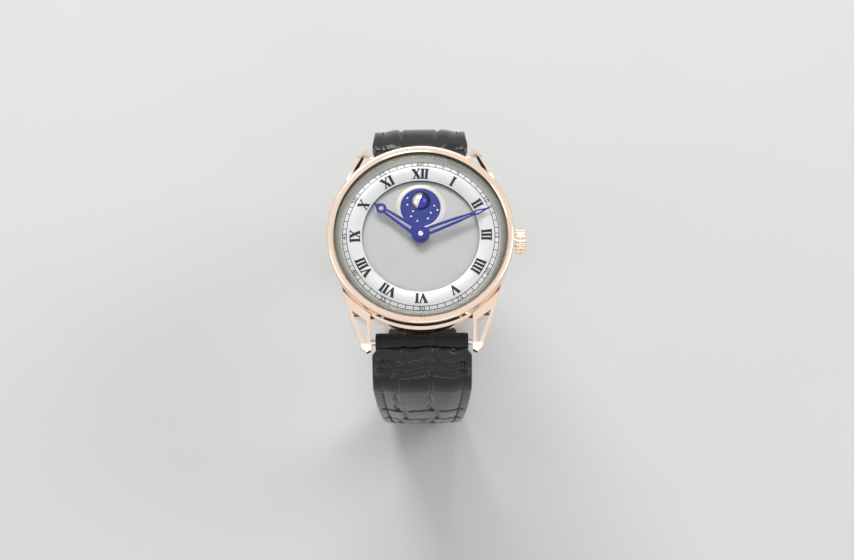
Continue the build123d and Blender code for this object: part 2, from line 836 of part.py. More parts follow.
# Moon train: the hour wheel drives a day wheel, whose two fingers step a star of 59 teeth
post_radius = arbor_radius
moon_finger_across = moon_star_place[0] - moon_drive_place[0]
moon_finger_along = moon_star_place[1] - moon_drive_place[1]
moon_finger_distance = hypot(moon_finger_across, moon_finger_along)
moon_finger_reach = moon_finger_distance - moon_star_radius - running_clearance
finger_direction = degrees(atan2(
    moon_star_place[1] - moon_drive_place[1],
    moon_star_place[0] - moon_drive_place[0],
))
finger_half_angle = 2.0
finger_points = [
    polar(moon_finger_reach, finger_direction - finger_half_angle),
    polar(moon_finger_reach, finger_direction + finger_half_angle),
    polar(-moon_finger_reach, finger_direction - finger_half_angle),
    polar(-moon_finger_reach, finger_direction + finger_half_angle),
]
moon_drive_turn = moon_drive_direction + 180 + 180 / moon_drive_teeth
moon_drive_wheel = motion_wheel(
    moon_drive_place,
    (
        (tooth_points(moon_drive_teeth, hour_wheel_module, moon_drive_turn), second_motion_z, wheel_thickness),
        (finger_points, second_motion_z + wheel_thickness, motion_step + 0.5 * wheel_thickness),
    ),
    post_radius,
    post_foot_z,
    dial_z - running_clearance,
)
moon_drive_wheel.part.label = "moon_drive_wheel"
export_step(moon_drive_wheel.part, "parts/moon_drive_wheel.step")

star_root_radius = moon_star_radius - moon_star_depth
moon_star_wheel = motion_wheel(
    moon_star_place,
    (
        (ratchet_points(moon_star_teeth, star_root_radius, moon_star_radius, finger_direction + 180),
         third_motion_z, 0.5 * wheel_thickness),
        (tooth_points(moon_gear_teeth, moon_gear_module, moon_star_direction + 180), moon_gear_z, wheel_thickness),
    ),
    post_radius,
    post_foot_z,
    dial_z - running_clearance,
)
moon_star_wheel.part.label = "moon_star_wheel"
export_step(moon_star_wheel.part, "parts/moon_star_wheel.step")

moon_bevel_turn = moon_star_direction + 180 / moon_gear_teeth
with BuildPart() as moon_bevel_wheel:
    with BuildSketch(level(moon_bevel_place, moon_gear_z)):
        Polygon(*tooth_points(moon_gear_teeth, moon_gear_module, moon_bevel_turn))
    extrude(amount=wheel_thickness)
    with BuildSketch(level(moon_bevel_place, post_foot_z)):
        Circle(post_radius)
    extrude(amount=moon_axis_z - moon_bevel_radius - post_foot_z)
    with BuildSketch(level(moon_bevel_place, moon_axis_z - moon_bevel_radius)):
        Circle(moon_bevel_radius - running_clearance)
    with BuildSketch(level(moon_bevel_place, moon_axis_z - moon_bevel_tip_radius)):
        Circle(moon_bevel_tip_radius - running_clearance)
    loft()
moon_bevel_wheel.part.label = "moon_bevel_wheel"
export_step(moon_bevel_wheel.part, "parts/moon_bevel_wheel.step")

# Motion work under the dial
cannon_pinion = motion_wheel(
    (0, 0),
    ((tooth_points(cannon_teeth, minute_wheel_module, minute_wheel_direction), first_motion_z, wheel_thickness),),
    cannon_pipe_radius,
    first_motion_z,
    minute_hand_z + minute_hand_thickness,
    arbor_radius + running_clearance,
)
cannon_pinion.part.label = "cannon_pinion"
export_step(cannon_pinion.part, "parts/cannon_pinion.step")

hour_wheel = motion_wheel(
    (0, 0),
    ((tooth_points(hour_wheel_teeth, hour_wheel_module, moon_drive_direction), second_motion_z, wheel_thickness),),
    hour_pipe_radius,
    second_motion_z,
    hour_hand_z + hour_hand_thickness,
    cannon_pipe_radius + running_clearance,
)
hour_wheel.part.label = "hour_wheel"
export_step(hour_wheel.part, "parts/hour_wheel.step")

# The minute pinion is cut so that it meets the hour wheel, whose teeth already face the moon train
minute_wheel_turn = minute_wheel_direction + 180 + 180 / minute_wheel_teeth
hour_tooth_offset = ((minute_wheel_direction - moon_drive_direction) * hour_wheel_teeth / 360) % 1
minute_pinion_turn = minute_wheel_direction + 180 + (0.5 - hour_tooth_offset) * 360 / minute_pinion_teeth
minute_wheel = motion_wheel(
    minute_wheel_place,
    (
        (tooth_points(minute_wheel_teeth, minute_wheel_module, minute_wheel_turn), first_motion_z, wheel_thickness),
        (tooth_points(minute_pinion_teeth, hour_wheel_module, minute_pinion_turn), second_motion_z, wheel_thickness),
    ),
    post_radius,
    post_foot_z,
    dial_z - running_clearance,
)
minute_wheel.part.label = "minute_wheel"
export_step(minute_wheel.part, "parts/minute_wheel.step")

# Hands, drawn pointing to 12 as shares of their length and turned to the time
hour_body_shares = ((0.086, 0.13), (0.046, 0.76))
hour_slit_shares = ((0.03, 0.2), (0.01, 0.73))
hour_tip_shares = ((0.058, 0.868), (0.027, 0.925), (0.012, 0.965), (0.003, 1.0))
hour_ring_share = 0.828
hour_ring_radius = 1.22
hour_ring_hole_radius = 0.6
minute_body_shares = ((0.045, 0.07), (0.057, 0.15), (0.042, 0.5), (0.022, 0.745))
minute_slit_shares = ((0.02, 0.125), (0.011, 0.45), (0.004, 0.7))
minute_tip_shares = ((0.022, 0.735), (0.036, 0.805), (0.012, 0.92), (0.003, 1.0))
minute_tip_opening_shares = ((0.003, 0.762), (0.019, 0.808), (0.003, 0.878))


def two_sided(shares, length):
    """Closed outline from the points of its right side, as shares of a length."""
    right = [(x * length, y * length) for x, y in shares]
    left = [(-x, y) for x, y in reversed(right)]
    return right + left


with BuildPart() as hour_hand:
    with BuildSketch(Plane.XY.offset(hour_hand_z).rotated((0, 0, -hour_hand_angle))):
        Circle(hour_boss_radius)
        Polygon(*two_sided(hour_body_shares, hour_hand_length))
        Polygon(*two_sided(hour_tip_shares, hour_hand_length))
        with Locations((0, hour_ring_share * hour_hand_length)):
            Circle(hour_ring_radius)
            Circle(hour_ring_hole_radius, mode=Mode.SUBTRACT)
        Polygon(*two_sided(hour_slit_shares, hour_hand_length), mode=Mode.SUBTRACT)
        Circle(hour_pipe_radius, mode=Mode.SUBTRACT)
    extrude(amount=hour_hand_thickness)
hour_hand.part.label = "hour_hand"
export_step(hour_hand.part, "parts/hour_hand.step")

with BuildPart() as minute_hand:
    with BuildSketch(Plane.XY.offset(minute_hand_z).rotated((0, 0, -minute_hand_angle))):
        Circle(minute_boss_radius)
        Polygon(*two_sided(minute_body_shares, minute_hand_length))
        Polygon(*two_sided(minute_tip_shares, minute_hand_length))
        Polygon(*two_sided(minute_slit_shares, minute_hand_length), mode=Mode.SUBTRACT)
        Polygon(*two_sided(minute_tip_opening_shares, minute_hand_length), mode=Mode.SUBTRACT)
        Circle(cannon_pipe_radius, mode=Mode.SUBTRACT)
    extrude(amount=minute_hand_thickness)
minute_hand.part.label = "minute_hand"
export_step(minute_hand.part, "parts/minute_hand.step")

with BuildPart() as hand_cap:
    with BuildSketch(Plane.XY.offset(cap_z)):
        Circle(cannon_pipe_radius)
    extrude(amount=cap_height)
    fillet(hand_cap.edges().group_by(Axis.Z)[-1], cap_edge_share * cap_height)
hand_cap.part.label = "hand_cap"
export_step(hand_cap.part, "parts/hand_cap.step")

# Main plate with the recesses of the motion work, moon train and keyless work
winding_pocket_radius = winding_pinion_radius + pocket_clearance_share * running_clearance
pocket_end_clearance = pocket_end_clearance_share * running_clearance
winding_pocket_x = winding_pinion_x - 0.5 * winding_pinion_length - pocket_end_clearance
winding_pocket_length = winding_pinion_length + 2 * pocket_end_clearance
sliding_pinion_x = winding_pinion_x - 0.5 * winding_pinion_length - sliding_pinion_gap - sliding_pinion_length
sliding_pocket_radius = sliding_pinion_radius + pocket_clearance_share * running_clearance
sliding_pocket_x = stem_inner_block_x + stem_inner_block_length
sliding_pocket_length = winding_pocket_x - sliding_pocket_x
setting_lever_place = (setting_groove_x, -setting_lever_reach)
gear_pocket_radius = pitch_radius(moon_gear_teeth, moon_gear_module) + seat_clearance
jewelled_places = (third_place, fourth_place, escape_place)
bridge_screw_places = barrel_bridge_screws + train_bridge_screws


def stem_plane(x):
    """Plane across the winding stem at a distance from the middle of the watch."""
    return Plane(origin=(x, 0, stem_z), x_dir=(0, 1, 0), z_dir=(1, 0, 0))


with BuildPart() as main_plate:
    with BuildSketch(Plane.XY.offset(plate_z)):
        Circle(plate_radius)
    extrude(amount=plate_thickness)
    with BuildSketch(Plane.XY.offset(motion_z)):
        Circle(plate_radius)
        Circle(plate_radius - plate_rim, mode=Mode.SUBTRACT)
    extrude(amount=motion_space)
    for block_x, block_length in (
        (stem_inner_block_x, stem_inner_block_length),
        (stem_outer_block_x, stem_outer_block_length),
    ):
        with BuildSketch(Plane.XY.offset(stem_block_bottom_z)):
            with Locations((block_x, 0)):
                Rectangle(block_length, 2 * stem_block_half, align=(Align.MIN, Align.CENTER))
        extrude(amount=plate_z - stem_block_bottom_z)
    with BuildSketch(level(setting_lever_place, train_z + running_clearance)):
        Circle(arbor_radius)
    extrude(amount=train_space - running_clearance)
    with BuildSketch(Plane.XY.offset(plate_z - overrun)):
        Circle(arbor_radius + running_clearance)
        with Locations(moon_place):
            Circle(moon_pocket_radius)
    extrude(amount=plate_thickness + 2 * overrun, mode=Mode.SUBTRACT)
    with BuildSketch(Plane.XY.offset(moon_gear_pocket_z)):
        with Locations(moon_bevel_place, moon_star_place):
            Circle(gear_pocket_radius)
    extrude(amount=overrun, mode=Mode.SUBTRACT)
    with BuildSketch(Plane.XY.offset(post_foot_z - running_clearance)):
        with Locations(moon_bevel_place, moon_star_place, moon_drive_place, minute_wheel_place):
            Circle(post_radius + running_clearance)
    extrude(amount=overrun, mode=Mode.SUBTRACT)
    with BuildSketch(Plane.XY.offset(plate_z)):
        with Locations(*jewelled_places, pallet_place, balance_place):
            Circle(jewel_radius)
    extrude(amount=plate_jewel_thickness, mode=Mode.SUBTRACT)
    with BuildSketch(level(barrel_place, plate_z)):
        Circle(barrel_arbor_radius + running_clearance)
    extrude(amount=plate_jewel_thickness, mode=Mode.SUBTRACT)
    with BuildSketch(Plane.XY.offset(plate_z)):
        with Locations(*bridge_screw_places, cock_foot_place, pallet_cock_foot):
            Circle(bridge_screw_radius)
    extrude(amount=bridge_screw_grip, mode=Mode.SUBTRACT)
    with BuildSketch(stem_plane(winding_pocket_x)):
        Circle(winding_pocket_radius)
    extrude(amount=winding_pocket_length, mode=Mode.SUBTRACT)
    with BuildSketch(stem_plane(sliding_pocket_x)):
        Circle(sliding_pocket_radius)
    extrude(amount=sliding_pocket_length, mode=Mode.SUBTRACT)
    with BuildSketch(stem_plane(stem_inner_block_x - overrun)):
        Circle(stem_radius + running_clearance)
    extrude(amount=plate_radius, mode=Mode.SUBTRACT)
main_plate.part.label = "main_plate"
export_step(main_plate.part, "parts/main_plate.step")

# Bridges: the disc is parted along a stepped line, and each part stands on three pillars
split_low = 0.5 * bridge_split_gap
stud_direction = degrees(atan2(cock_foot_place[1] - balance_place[1], cock_foot_place[0] - balance_place[0]))
barrel_bridge_outline = (
    (-case_radius, bridge_split_y + split_low),
    (bridge_split_x + split_low, bridge_split_y + split_low),
    (bridge_split_x + split_low, bridge_split_low_y + split_low),
    (case_radius, bridge_split_low_y + split_low),
    (case_radius, case_radius),
    (-case_radius, case_radius),
)
beyond_foot = polar(2 * case_radius, stud_direction, balance_place)
train_bridge_outline = (
    (balance_place[0], bridge_split_y - split_low),
    (bridge_split_x - split_low, bridge_split_y - split_low),
    (bridge_split_x - split_low, bridge_split_low_y - split_low),
    (case_radius, bridge_split_low_y - split_low),
    (case_radius, beyond_foot[1]),
    beyond_foot,
    balance_place,
)


def bridge(outline, screw_places, openings):
    """Bridge cut from the disc, on pillars at its screws, with round openings through it."""
    with BuildPart() as plate:
        with BuildSketch(Plane.XY.offset(bridge_z)):
            Circle(bridge_radius)
            Polygon(*outline, mode=Mode.INTERSECT)
        extrude(amount=bridge_thickness)
        with BuildSketch(Plane.XY.offset(train_z)):
            with Locations(*screw_places):
                Circle(pillar_radius)
        extrude(amount=train_space)
        with BuildSketch(Plane.XY.offset(bridge_z)):
            with Locations(*screw_places):
                Circle(bridge_screw_head_radius)
        extrude(amount=bridge_screw_head_height, mode=Mode.SUBTRACT)
        with BuildSketch(Plane.XY.offset(bridge_z)):
            with Locations(*screw_places):
                Circle(bridge_screw_radius)
        extrude(amount=bridge_thickness + train_space, mode=Mode.SUBTRACT)
        with BuildSketch(Plane.XY.offset(bridge_z)):
            for place, radius in openings:
                with Locations(place):
                    Circle(radius)
        extrude(amount=bridge_thickness, mode=Mode.SUBTRACT)
    return plate


balance_opening = (balance_place, balance_radius + balance_gap)
barrel_openings = (balance_opening, (barrel_place, barrel_arbor_radius + running_clearance))
with BuildPart() as barrel_bridge:
    add(bridge(barrel_bridge_outline, barrel_bridge_screws, barrel_openings).part)
    with BuildSketch(level(crown_wheel_place, winding_wheel_z - running_clearance)):
        Circle(crown_wheel_boss_radius)
    extrude(amount=bridge_z - winding_wheel_z + running_clearance)
    with BuildSketch(Plane.XY.offset(winding_wheel_z - running_clearance)):
        with Locations(click_place, crown_wheel_place):
            Circle(arbor_radius)
    extrude(amount=bridge_z + bridge_screw_grip - winding_wheel_z + running_clearance, mode=Mode.SUBTRACT)
    with BuildSketch(stem_plane(winding_pocket_x)):
        Circle(winding_pocket_radius)
    extrude(amount=winding_pocket_length, mode=Mode.SUBTRACT)
barrel_bridge.part.label = "barrel_bridge"
export_step(barrel_bridge.part, "parts/barrel_bridge.step")

train_openings = [balance_opening, ((0, 0), jewel_radius)]
train_openings += [(place, jewel_radius) for place in jewelled_places]
with BuildPart() as train_bridge:
    add(bridge(train_bridge_outline, train_bridge_screws, train_openings).part)
    with BuildSketch(Plane.XY.offset(bridge_z)):
        with Locations(balance_place):
            Circle(cock_head_radius + seat_clearance)
        with Locations(cock_foot_place):
            Circle(cock_foot_radius + seat_clearance)
        make_hull()
    extrude(amount=bridge_thickness, mode=Mode.SUBTRACT)
train_bridge.part.label = "train_bridge"
export_step(train_bridge.part, "parts/train_bridge.step")


def cock(head_place, head_radius, foot_place, foot_radius, bottom_z, thickness):
    """Small bridge with one foot: a jewelled head, an arm and a column up to the main plate."""
    with BuildPart() as part:
        with BuildSketch(Plane.XY.offset(bottom_z)):
            with Locations(head_place):
                Circle(head_radius)
            with Locations(foot_place):
                Circle(foot_radius)
            make_hull()
        extrude(amount=thickness)
        with BuildSketch(level(foot_place, bottom_z)):
            Circle(foot_radius)
        extrude(amount=plate_z - bottom_z)
        with BuildSketch(level(head_place, bottom_z)):
            Circle(jewel_radius)
        extrude(amount=thickness, mode=Mode.SUBTRACT)
        with BuildSketch(level(foot_place, bottom_z)):
            Circle(bridge_screw_radius)
        extrude(amount=plate_z - bottom_z, mode=Mode.SUBTRACT)
        with BuildSketch(level(foot_place, bottom_z)):
            Circle(bridge_screw_head_radius)
        extrude(amount=bridge_screw_head_height, mode=Mode.SUBTRACT)
    return part


balance_cock = cock(balance_place, cock_head_radius, cock_foot_place, cock_foot_radius, cock_z, cock_thickness)
balance_cock.part.label = "balance_cock"
export_step(balance_cock.part, "parts/balance_cock.step")

pallet_cock_z = balance_z + balance_rim_height + pallet_cock_gap
pallet_cock = cock(
    pallet_place,
    pallet_cock_radius,
    pallet_cock_foot,
    pallet_cock_radius,
    pallet_cock_z,
    pallet_cock_thickness,
)
pallet_cock.part.label = "pallet_cock"
export_step(pallet_cock.part, "parts/pallet_cock.step")

# Jewels: rings in which the pivots turn
plate_jewel_places = (*jewelled_places, pallet_place, balance_place)
jewel_seats = [(place, plate_z, plate_jewel_thickness) for place in plate_jewel_places]
jewel_seats += [(place, train_z - jewel_thickness, jewel_thickness) for place in ((0, 0), *jewelled_places)]
jewel_seats.append((balance_place, cock_z, cock_thickness))
jewel_seats.append((pallet_place, pallet_cock_z, pallet_cock_thickness))
with BuildPart() as jewels:
    for place, bottom_z, thickness in jewel_seats:
        with BuildSketch(level(place, bottom_z)):
            Circle(jewel_radius)
            Circle(pivot_radius + running_clearance, mode=Mode.SUBTRACT)
        extrude(amount=thickness)
jewels.part.label = "jewels"
export_step(jewels.part, "parts/jewels.step")

# Screws of the bridges and cocks, crown wheel and click
screw_seats = [(place, bridge_z) for place in bridge_screw_places]
screw_seats += [(cock_foot_place, cock_z), (pallet_cock_foot, pallet_cock_z)]
post_seats = (
    (crown_wheel_place, wheel_screw_radius, winding_wheel_z - running_clearance),
    (click_place, click_hub_radius, winding_wheel_z - running_clearance),
)
with BuildPart() as movement_screws:
    for place, head_z in screw_seats:
        with BuildSketch(level(place, head_z)):
            Circle(bridge_screw_head_radius)
        extrude(amount=bridge_screw_head_height)
        with BuildSketch(level(place, head_z)):
            Circle(bridge_screw_radius)
        extrude(amount=plate_z + bridge_screw_grip - head_z)
        with BuildSketch(level(place, head_z)):
            Rectangle(2 * bridge_screw_head_radius + bridge_screw_slot, bridge_screw_slot)
        extrude(amount=bridge_screw_slot, mode=Mode.SUBTRACT)
    for place, head_radius, seat_z in post_seats:
        with BuildSketch(level(place, seat_z - arbor_head_height)):
            Circle(head_radius)
        extrude(amount=arbor_head_height)
        with BuildSketch(level(place, seat_z)):
            Circle(arbor_radius)
        extrude(amount=bridge_z + bridge_screw_grip - seat_z)
        with BuildSketch(level(place, seat_z - arbor_head_height)):
            Rectangle(2 * head_radius + bridge_screw_slot, bridge_screw_slot)
        extrude(amount=0.5 * arbor_head_height, mode=Mode.SUBTRACT)
movement_screws.part.label = "movement_screws"
export_step(movement_screws.part, "parts/movement_screws.step")


def spiral_arcs(first_radius, pitch, half_turns):
    """Start, middle and end of the half turns of a spiral drawn with two centres."""
    step = 0.5 * pitch
    arcs = []
    for index in range(half_turns):
        centre = ((index % 2) * step, 0)
        radius = first_radius + index * step
        start_angle = 180 * (index % 2)
        arcs.append([polar(radius, start_angle + quarter, centre) for quarter in (0, 90, 180)])
    return arcs


def spiral_spring(plane, first_radius, pitch, half_turns, band, height):
    """Flat spiral spring on a plane."""
    inner = spiral_arcs(first_radius, pitch, half_turns)
    outer = spiral_arcs(first_radius + band, pitch, half_turns)
    with BuildPart() as spring:
        with BuildSketch(plane):
            with BuildLine():
                for start, middle, end in inner + outer:
                    ThreePointArc(start, middle, end)
                Line(inner[0][0], outer[0][0])
                Line(inner[-1][2], outer[-1][2])
            make_face()
        extrude(amount=height)
    return spring


# Mainspring barrel and its arbor
barrel_drum_radius = pitch_radius(barrel_teeth, barrel_module) - 2 * barrel_module
barrel_turn = barrel_direction + 180
with BuildPart() as barrel_drum:
    with BuildSketch(level(barrel_place, barrel_z)):
        Polygon(*tooth_points(barrel_teeth, barrel_module, barrel_turn))
    extrude(amount=barrel_tooth_height)
    with BuildSketch(level(barrel_place, barrel_z)):
        Circle(barrel_drum_radius)
    extrude(amount=barrel_height)
    with BuildSketch(level(barrel_place, barrel_z + barrel_floor)):
        Circle(barrel_drum_radius - barrel_wall)
    extrude(amount=barrel_height - 2 * barrel_floor, mode=Mode.SUBTRACT)
    with BuildSketch(level(barrel_place, barrel_z)):
        Circle(barrel_arbor_radius + running_clearance)
    extrude(amount=barrel_height, mode=Mode.SUBTRACT)
barrel_drum.part.label = "barrel_drum"
export_step(barrel_drum.part, "parts/barrel_drum.step")

spring_floor_z = barrel_z + barrel_floor + 2 * running_clearance
mainspring = spiral_spring(
    level(barrel_place, spring_floor_z),
    mainspring_inner_radius,
    mainspring_pitch,
    mainspring_half_turns,
    mainspring_band,
    barrel_height - 2 * barrel_floor - pocket_end_clearance,
)
mainspring.part.label = "mainspring"
export_step(mainspring.part, "parts/mainspring.step")

with BuildPart() as barrel_arbor:
    with BuildSketch(level(barrel_place, winding_wheel_z)):
        Circle(barrel_arbor_radius)
    extrude(amount=plate_z + plate_jewel_thickness - running_clearance - winding_wheel_z)
    with BuildSketch(level(barrel_place, spring_floor_z)):
        Circle(barrel_core_radius)
    extrude(amount=barrel_height - 2 * barrel_floor - pocket_end_clearance)
    with BuildSketch(level(barrel_place, winding_wheel_z - arbor_head_height)):
        Circle(arbor_head_radius)
    extrude(amount=arbor_head_height)
barrel_arbor.part.label = "barrel_arbor"
export_step(barrel_arbor.part, "parts/barrel_arbor.step")

# Winding wheels and click
winding_gap_x = barrel_place[0] - crown_wheel_place[0]
winding_gap_y = barrel_place[1] - crown_wheel_place[1]
crown_wheel_line = degrees(atan2(winding_gap_y, winding_gap_x))
with BuildPart() as crown_wheel:
    with BuildSketch(level(crown_wheel_place, winding_wheel_z)):
        Polygon(*tooth_points(crown_wheel_teeth, winding_module, crown_wheel_line))
        Circle(crown_wheel_boss_radius + running_clearance, mode=Mode.SUBTRACT)
    extrude(amount=winding_wheel_thickness)
crown_wheel.part.label = "crown_wheel"
export_step(crown_wheel.part, "parts/crown_wheel.step")

with BuildPart() as ratchet_wheel:
    with BuildSketch(level(barrel_place, winding_wheel_z)):
        Polygon(*tooth_points(ratchet_teeth, winding_module, crown_wheel_line + 180 + 180 / ratchet_teeth))
        Circle(barrel_arbor_radius, mode=Mode.SUBTRACT)
    extrude(amount=winding_wheel_thickness)
ratchet_wheel.part.label = "ratchet_wheel"
export_step(ratchet_wheel.part, "parts/ratchet_wheel.step")

ratchet_tip_radius = pitch_radius(ratchet_teeth, winding_module) + tooth_tip_share * winding_module
click_tip_distance = ratchet_tip_radius + running_clearance + click_tip_radius
with BuildPart() as click:
    with BuildSketch(Plane.XY.offset(winding_wheel_z)):
        with Locations(click_place):
            Circle(click_hub_radius)
        with Locations(polar(click_tip_distance, click_tip_direction, barrel_place)):
            Circle(click_tip_radius)
        make_hull()
        with Locations(click_place):
            Circle(arbor_radius + running_clearance, mode=Mode.SUBTRACT)
    extrude(amount=winding_wheel_thickness)
click.part.label = "click"
export_step(click.part, "parts/click.step")

# Going train: each pinion is cut so that it meets the wheel that drives it
centre_wheel = spoked_wheel(
    (0, 0),
    tooth_points(centre_teeth, centre_module, third_direction),
    pitch_radius(centre_teeth, centre_module),
    centre_wheel_z,
    (
        tooth_points(centre_pinion_teeth, barrel_module, barrel_direction + 180 / centre_pinion_teeth),
        barrel_z,
    ),
    dial_top_z + chapter_outer_rise,
)
centre_wheel.part.label = "centre_wheel"
export_step(centre_wheel.part, "parts/centre_wheel.step")

third_wheel = spoked_wheel(
    third_place,
    tooth_points(third_teeth, third_module, fourth_direction),
    pitch_radius(third_teeth, third_module),
    third_wheel_z,
    (
        tooth_points(third_pinion_teeth, centre_module, third_direction + 180 + 180 / third_pinion_teeth),
        plate_z - running_clearance - pinion_length,
    ),
)
third_wheel.part.label = "third_wheel"
export_step(third_wheel.part, "parts/third_wheel.step")

fourth_wheel = spoked_wheel(
    fourth_place,
    tooth_points(fourth_teeth, fourth_module, escape_direction),
    pitch_radius(fourth_teeth, fourth_module),
    fourth_wheel_z,
    (
        tooth_points(fourth_pinion_teeth, third_module, fourth_direction + 180 + 180 / fourth_pinion_teeth),
        third_wheel_z - 0.5 * (pinion_length - wheel_thickness),
    ),
)
fourth_wheel.part.label = "fourth_wheel"
export_step(fourth_wheel.part, "parts/fourth_wheel.step")

escape_wheel = spoked_wheel(
    escape_place,
    ratchet_points(escape_teeth, escape_root_radius, escape_radius, pallet_direction),
    escape_root_radius,
    escape_wheel_z,
    (
        tooth_points(escape_pinion_teeth, fourth_module, escape_direction + 180 + 180 / escape_pinion_teeth),
        fourth_wheel_z - 0.5 * (pinion_length - wheel_thickness),
    ),
)
escape_wheel.part.label = "escape_wheel"
export_step(escape_wheel.part, "parts/escape_wheel.step")

# Lever escapement, balance and hairspring
stone_angles = (pallet_direction - pallet_stone_angle, pallet_direction + pallet_stone_angle)
with BuildPart() as pallet_fork:
    for stone_angle in stone_angles:
        with BuildSketch(Plane.XY.offset(escape_wheel_z)):
            with Locations(pallet_place):
                Circle(pallet_hub_radius)
            with Locations(polar(pallet_stone_radius, stone_angle, escape_place)):
                Circle(pallet_stone_size)
            make_hull()
        extrude(amount=wheel_thickness)
    with BuildSketch(Plane.XY.offset(escape_wheel_z)):
        with Locations(pallet_place):
            Circle(pallet_hub_radius)
        with Locations(polar(fork_reach, balance_direction, pallet_place)):
            Circle(fork_tip_radius)
        make_hull()
    extrude(amount=wheel_thickness)
    pallet_arbor_z = pallet_cock_z + pallet_cock_thickness + running_clearance
    with BuildSketch(level(pallet_place, pallet_arbor_z)):
        Circle(balance_staff_radius)
    extrude(amount=plate_z - running_clearance - pallet_arbor_z)
    with BuildSketch(level(pallet_place, pallet_arbor_z - pivot_length)):
        Circle(pivot_radius)
    extrude(amount=plate_z - running_clearance - pallet_arbor_z + 2 * pivot_length)
pallet_fork.part.label = "pallet_fork"
export_step(pallet_fork.part, "parts/pallet_fork.step")

staff_bottom_z = cock_z + cock_thickness + running_clearance
staff_height = plate_z - running_clearance - staff_bottom_z
with BuildPart() as balance_wheel:
    with BuildSketch(level(balance_place, balance_z)):
        Circle(balance_radius)
        Circle(balance_radius - balance_rim, mode=Mode.SUBTRACT)
    extrude(amount=balance_rim_height)
    with BuildSketch(level(balance_place, balance_z)):
        Circle(balance_hub_radius)
        with PolarLocations(0, balance_arm_count):
            Rectangle(balance_radius - 0.5 * balance_rim, balance_arm, align=(Align.MIN, Align.CENTER))
    extrude(amount=balance_arm_height)
    with BuildSketch(level(balance_place, staff_bottom_z)):
        Circle(balance_staff_radius)
    extrude(amount=staff_height)
    with BuildSketch(level(balance_place, staff_bottom_z - pivot_length)):
        Circle(pivot_radius)
    extrude(amount=staff_height + 2 * pivot_length)
    with BuildSketch(level(balance_place, roller_z)):
        Circle(roller_radius)
    extrude(amount=roller_height)
    pin_place = polar(impulse_pin_distance, balance_direction + 180, balance_place)
    with BuildSketch(level(pin_place, roller_z)):
        Circle(impulse_pin_radius)
    extrude(amount=impulse_pin_length)
balance_wheel.part.label = "balance_wheel"
export_step(balance_wheel.part, "parts/balance_wheel.step")

hairspring = spiral_spring(
    level(balance_place, hairspring_z).rotated((0, 0, stud_direction)),
    hairspring_inner_radius,
    hairspring_pitch,
    hairspring_half_turns,
    hairspring_band,
    hairspring_height,
)
hairspring.part.label = "hairspring"
export_step(hairspring.part, "parts/hairspring.step")

# Keyless work: stem, pinions, setting lever, crown tube and crown
crown_bottom_x = crown_place_x + crown_bore_depth
with BuildPart() as crown_tube:
    with BuildSketch(stem_plane(case_bore_radius)):
        Circle(crown_tube_radius)
        Circle(stem_radius + running_clearance, mode=Mode.SUBTRACT)
    extrude(amount=crown_tube_length)
crown_tube.part.label = "crown_tube"
export_step(crown_tube.part, "parts/crown_tube.step")

with BuildPart() as winding_stem:
    with BuildSketch(stem_plane(stem_pilot_x)):
        Circle(stem_radius)
    extrude(amount=crown_bottom_x - stem_pilot_x)
    with BuildSketch(stem_plane(setting_groove_x - 0.5 * setting_groove_width)):
        Circle(stem_radius)
        Circle(setting_groove_radius, mode=Mode.SUBTRACT)
    extrude(amount=setting_groove_width, mode=Mode.SUBTRACT)
winding_stem.part.label = "winding_stem"
export_step(winding_stem.part, "parts/winding_stem.step")

winding_pinion_module = winding_pinion_radius / (0.5 * winding_pinion_teeth + tooth_tip_share)
with BuildPart() as winding_pinion:
    with BuildSketch(stem_plane(winding_pinion_x - 0.5 * winding_pinion_length)):
        Polygon(*tooth_points(winding_pinion_teeth, winding_pinion_module, -90))
        Circle(stem_radius + running_clearance, mode=Mode.SUBTRACT)
    extrude(amount=winding_pinion_length)
winding_pinion.part.label = "winding_pinion"
export_step(winding_pinion.part, "parts/winding_pinion.step")

sliding_groove_depth = sliding_pinion_radius - stem_radius - seat_clearance
sliding_groove_share = 1 / 3
with BuildPart() as sliding_pinion:
    with BuildSketch(stem_plane(sliding_pinion_x)):
        Circle(sliding_pinion_radius)
        Circle(stem_radius + running_clearance, mode=Mode.SUBTRACT)
    extrude(amount=sliding_pinion_length)
    with BuildSketch(stem_plane(sliding_pinion_x + sliding_groove_share * sliding_pinion_length)):
        Circle(sliding_pinion_radius)
        Circle(sliding_pinion_radius - sliding_groove_depth, mode=Mode.SUBTRACT)
    extrude(amount=sliding_groove_share * sliding_pinion_length, mode=Mode.SUBTRACT)
sliding_pinion.part.label = "sliding_pinion"
export_step(sliding_pinion.part, "parts/sliding_pinion.step")

setting_lever_z = train_z + 2 * running_clearance
setting_pin_top_z = stem_z - setting_groove_radius - running_clearance
with BuildPart() as setting_lever:
    with BuildSketch(Plane.XY.offset(setting_lever_z)):
        with Locations(setting_lever_place):
            Circle(setting_lever_radius)
        with Locations((setting_groove_x, 0)):
            Circle(setting_lever_tip_radius)
        make_hull()
        with Locations(setting_lever_place):
            Circle(arbor_radius + running_clearance, mode=Mode.SUBTRACT)
    extrude(amount=setting_lever_thickness)
    with BuildSketch(level((setting_groove_x, 0), setting_lever_z)):
        Circle(setting_pin_radius)
    extrude(amount=setting_pin_top_z - setting_lever_z)
setting_lever.part.label = "setting_lever"
export_step(setting_lever.part, "parts/setting_lever.step")

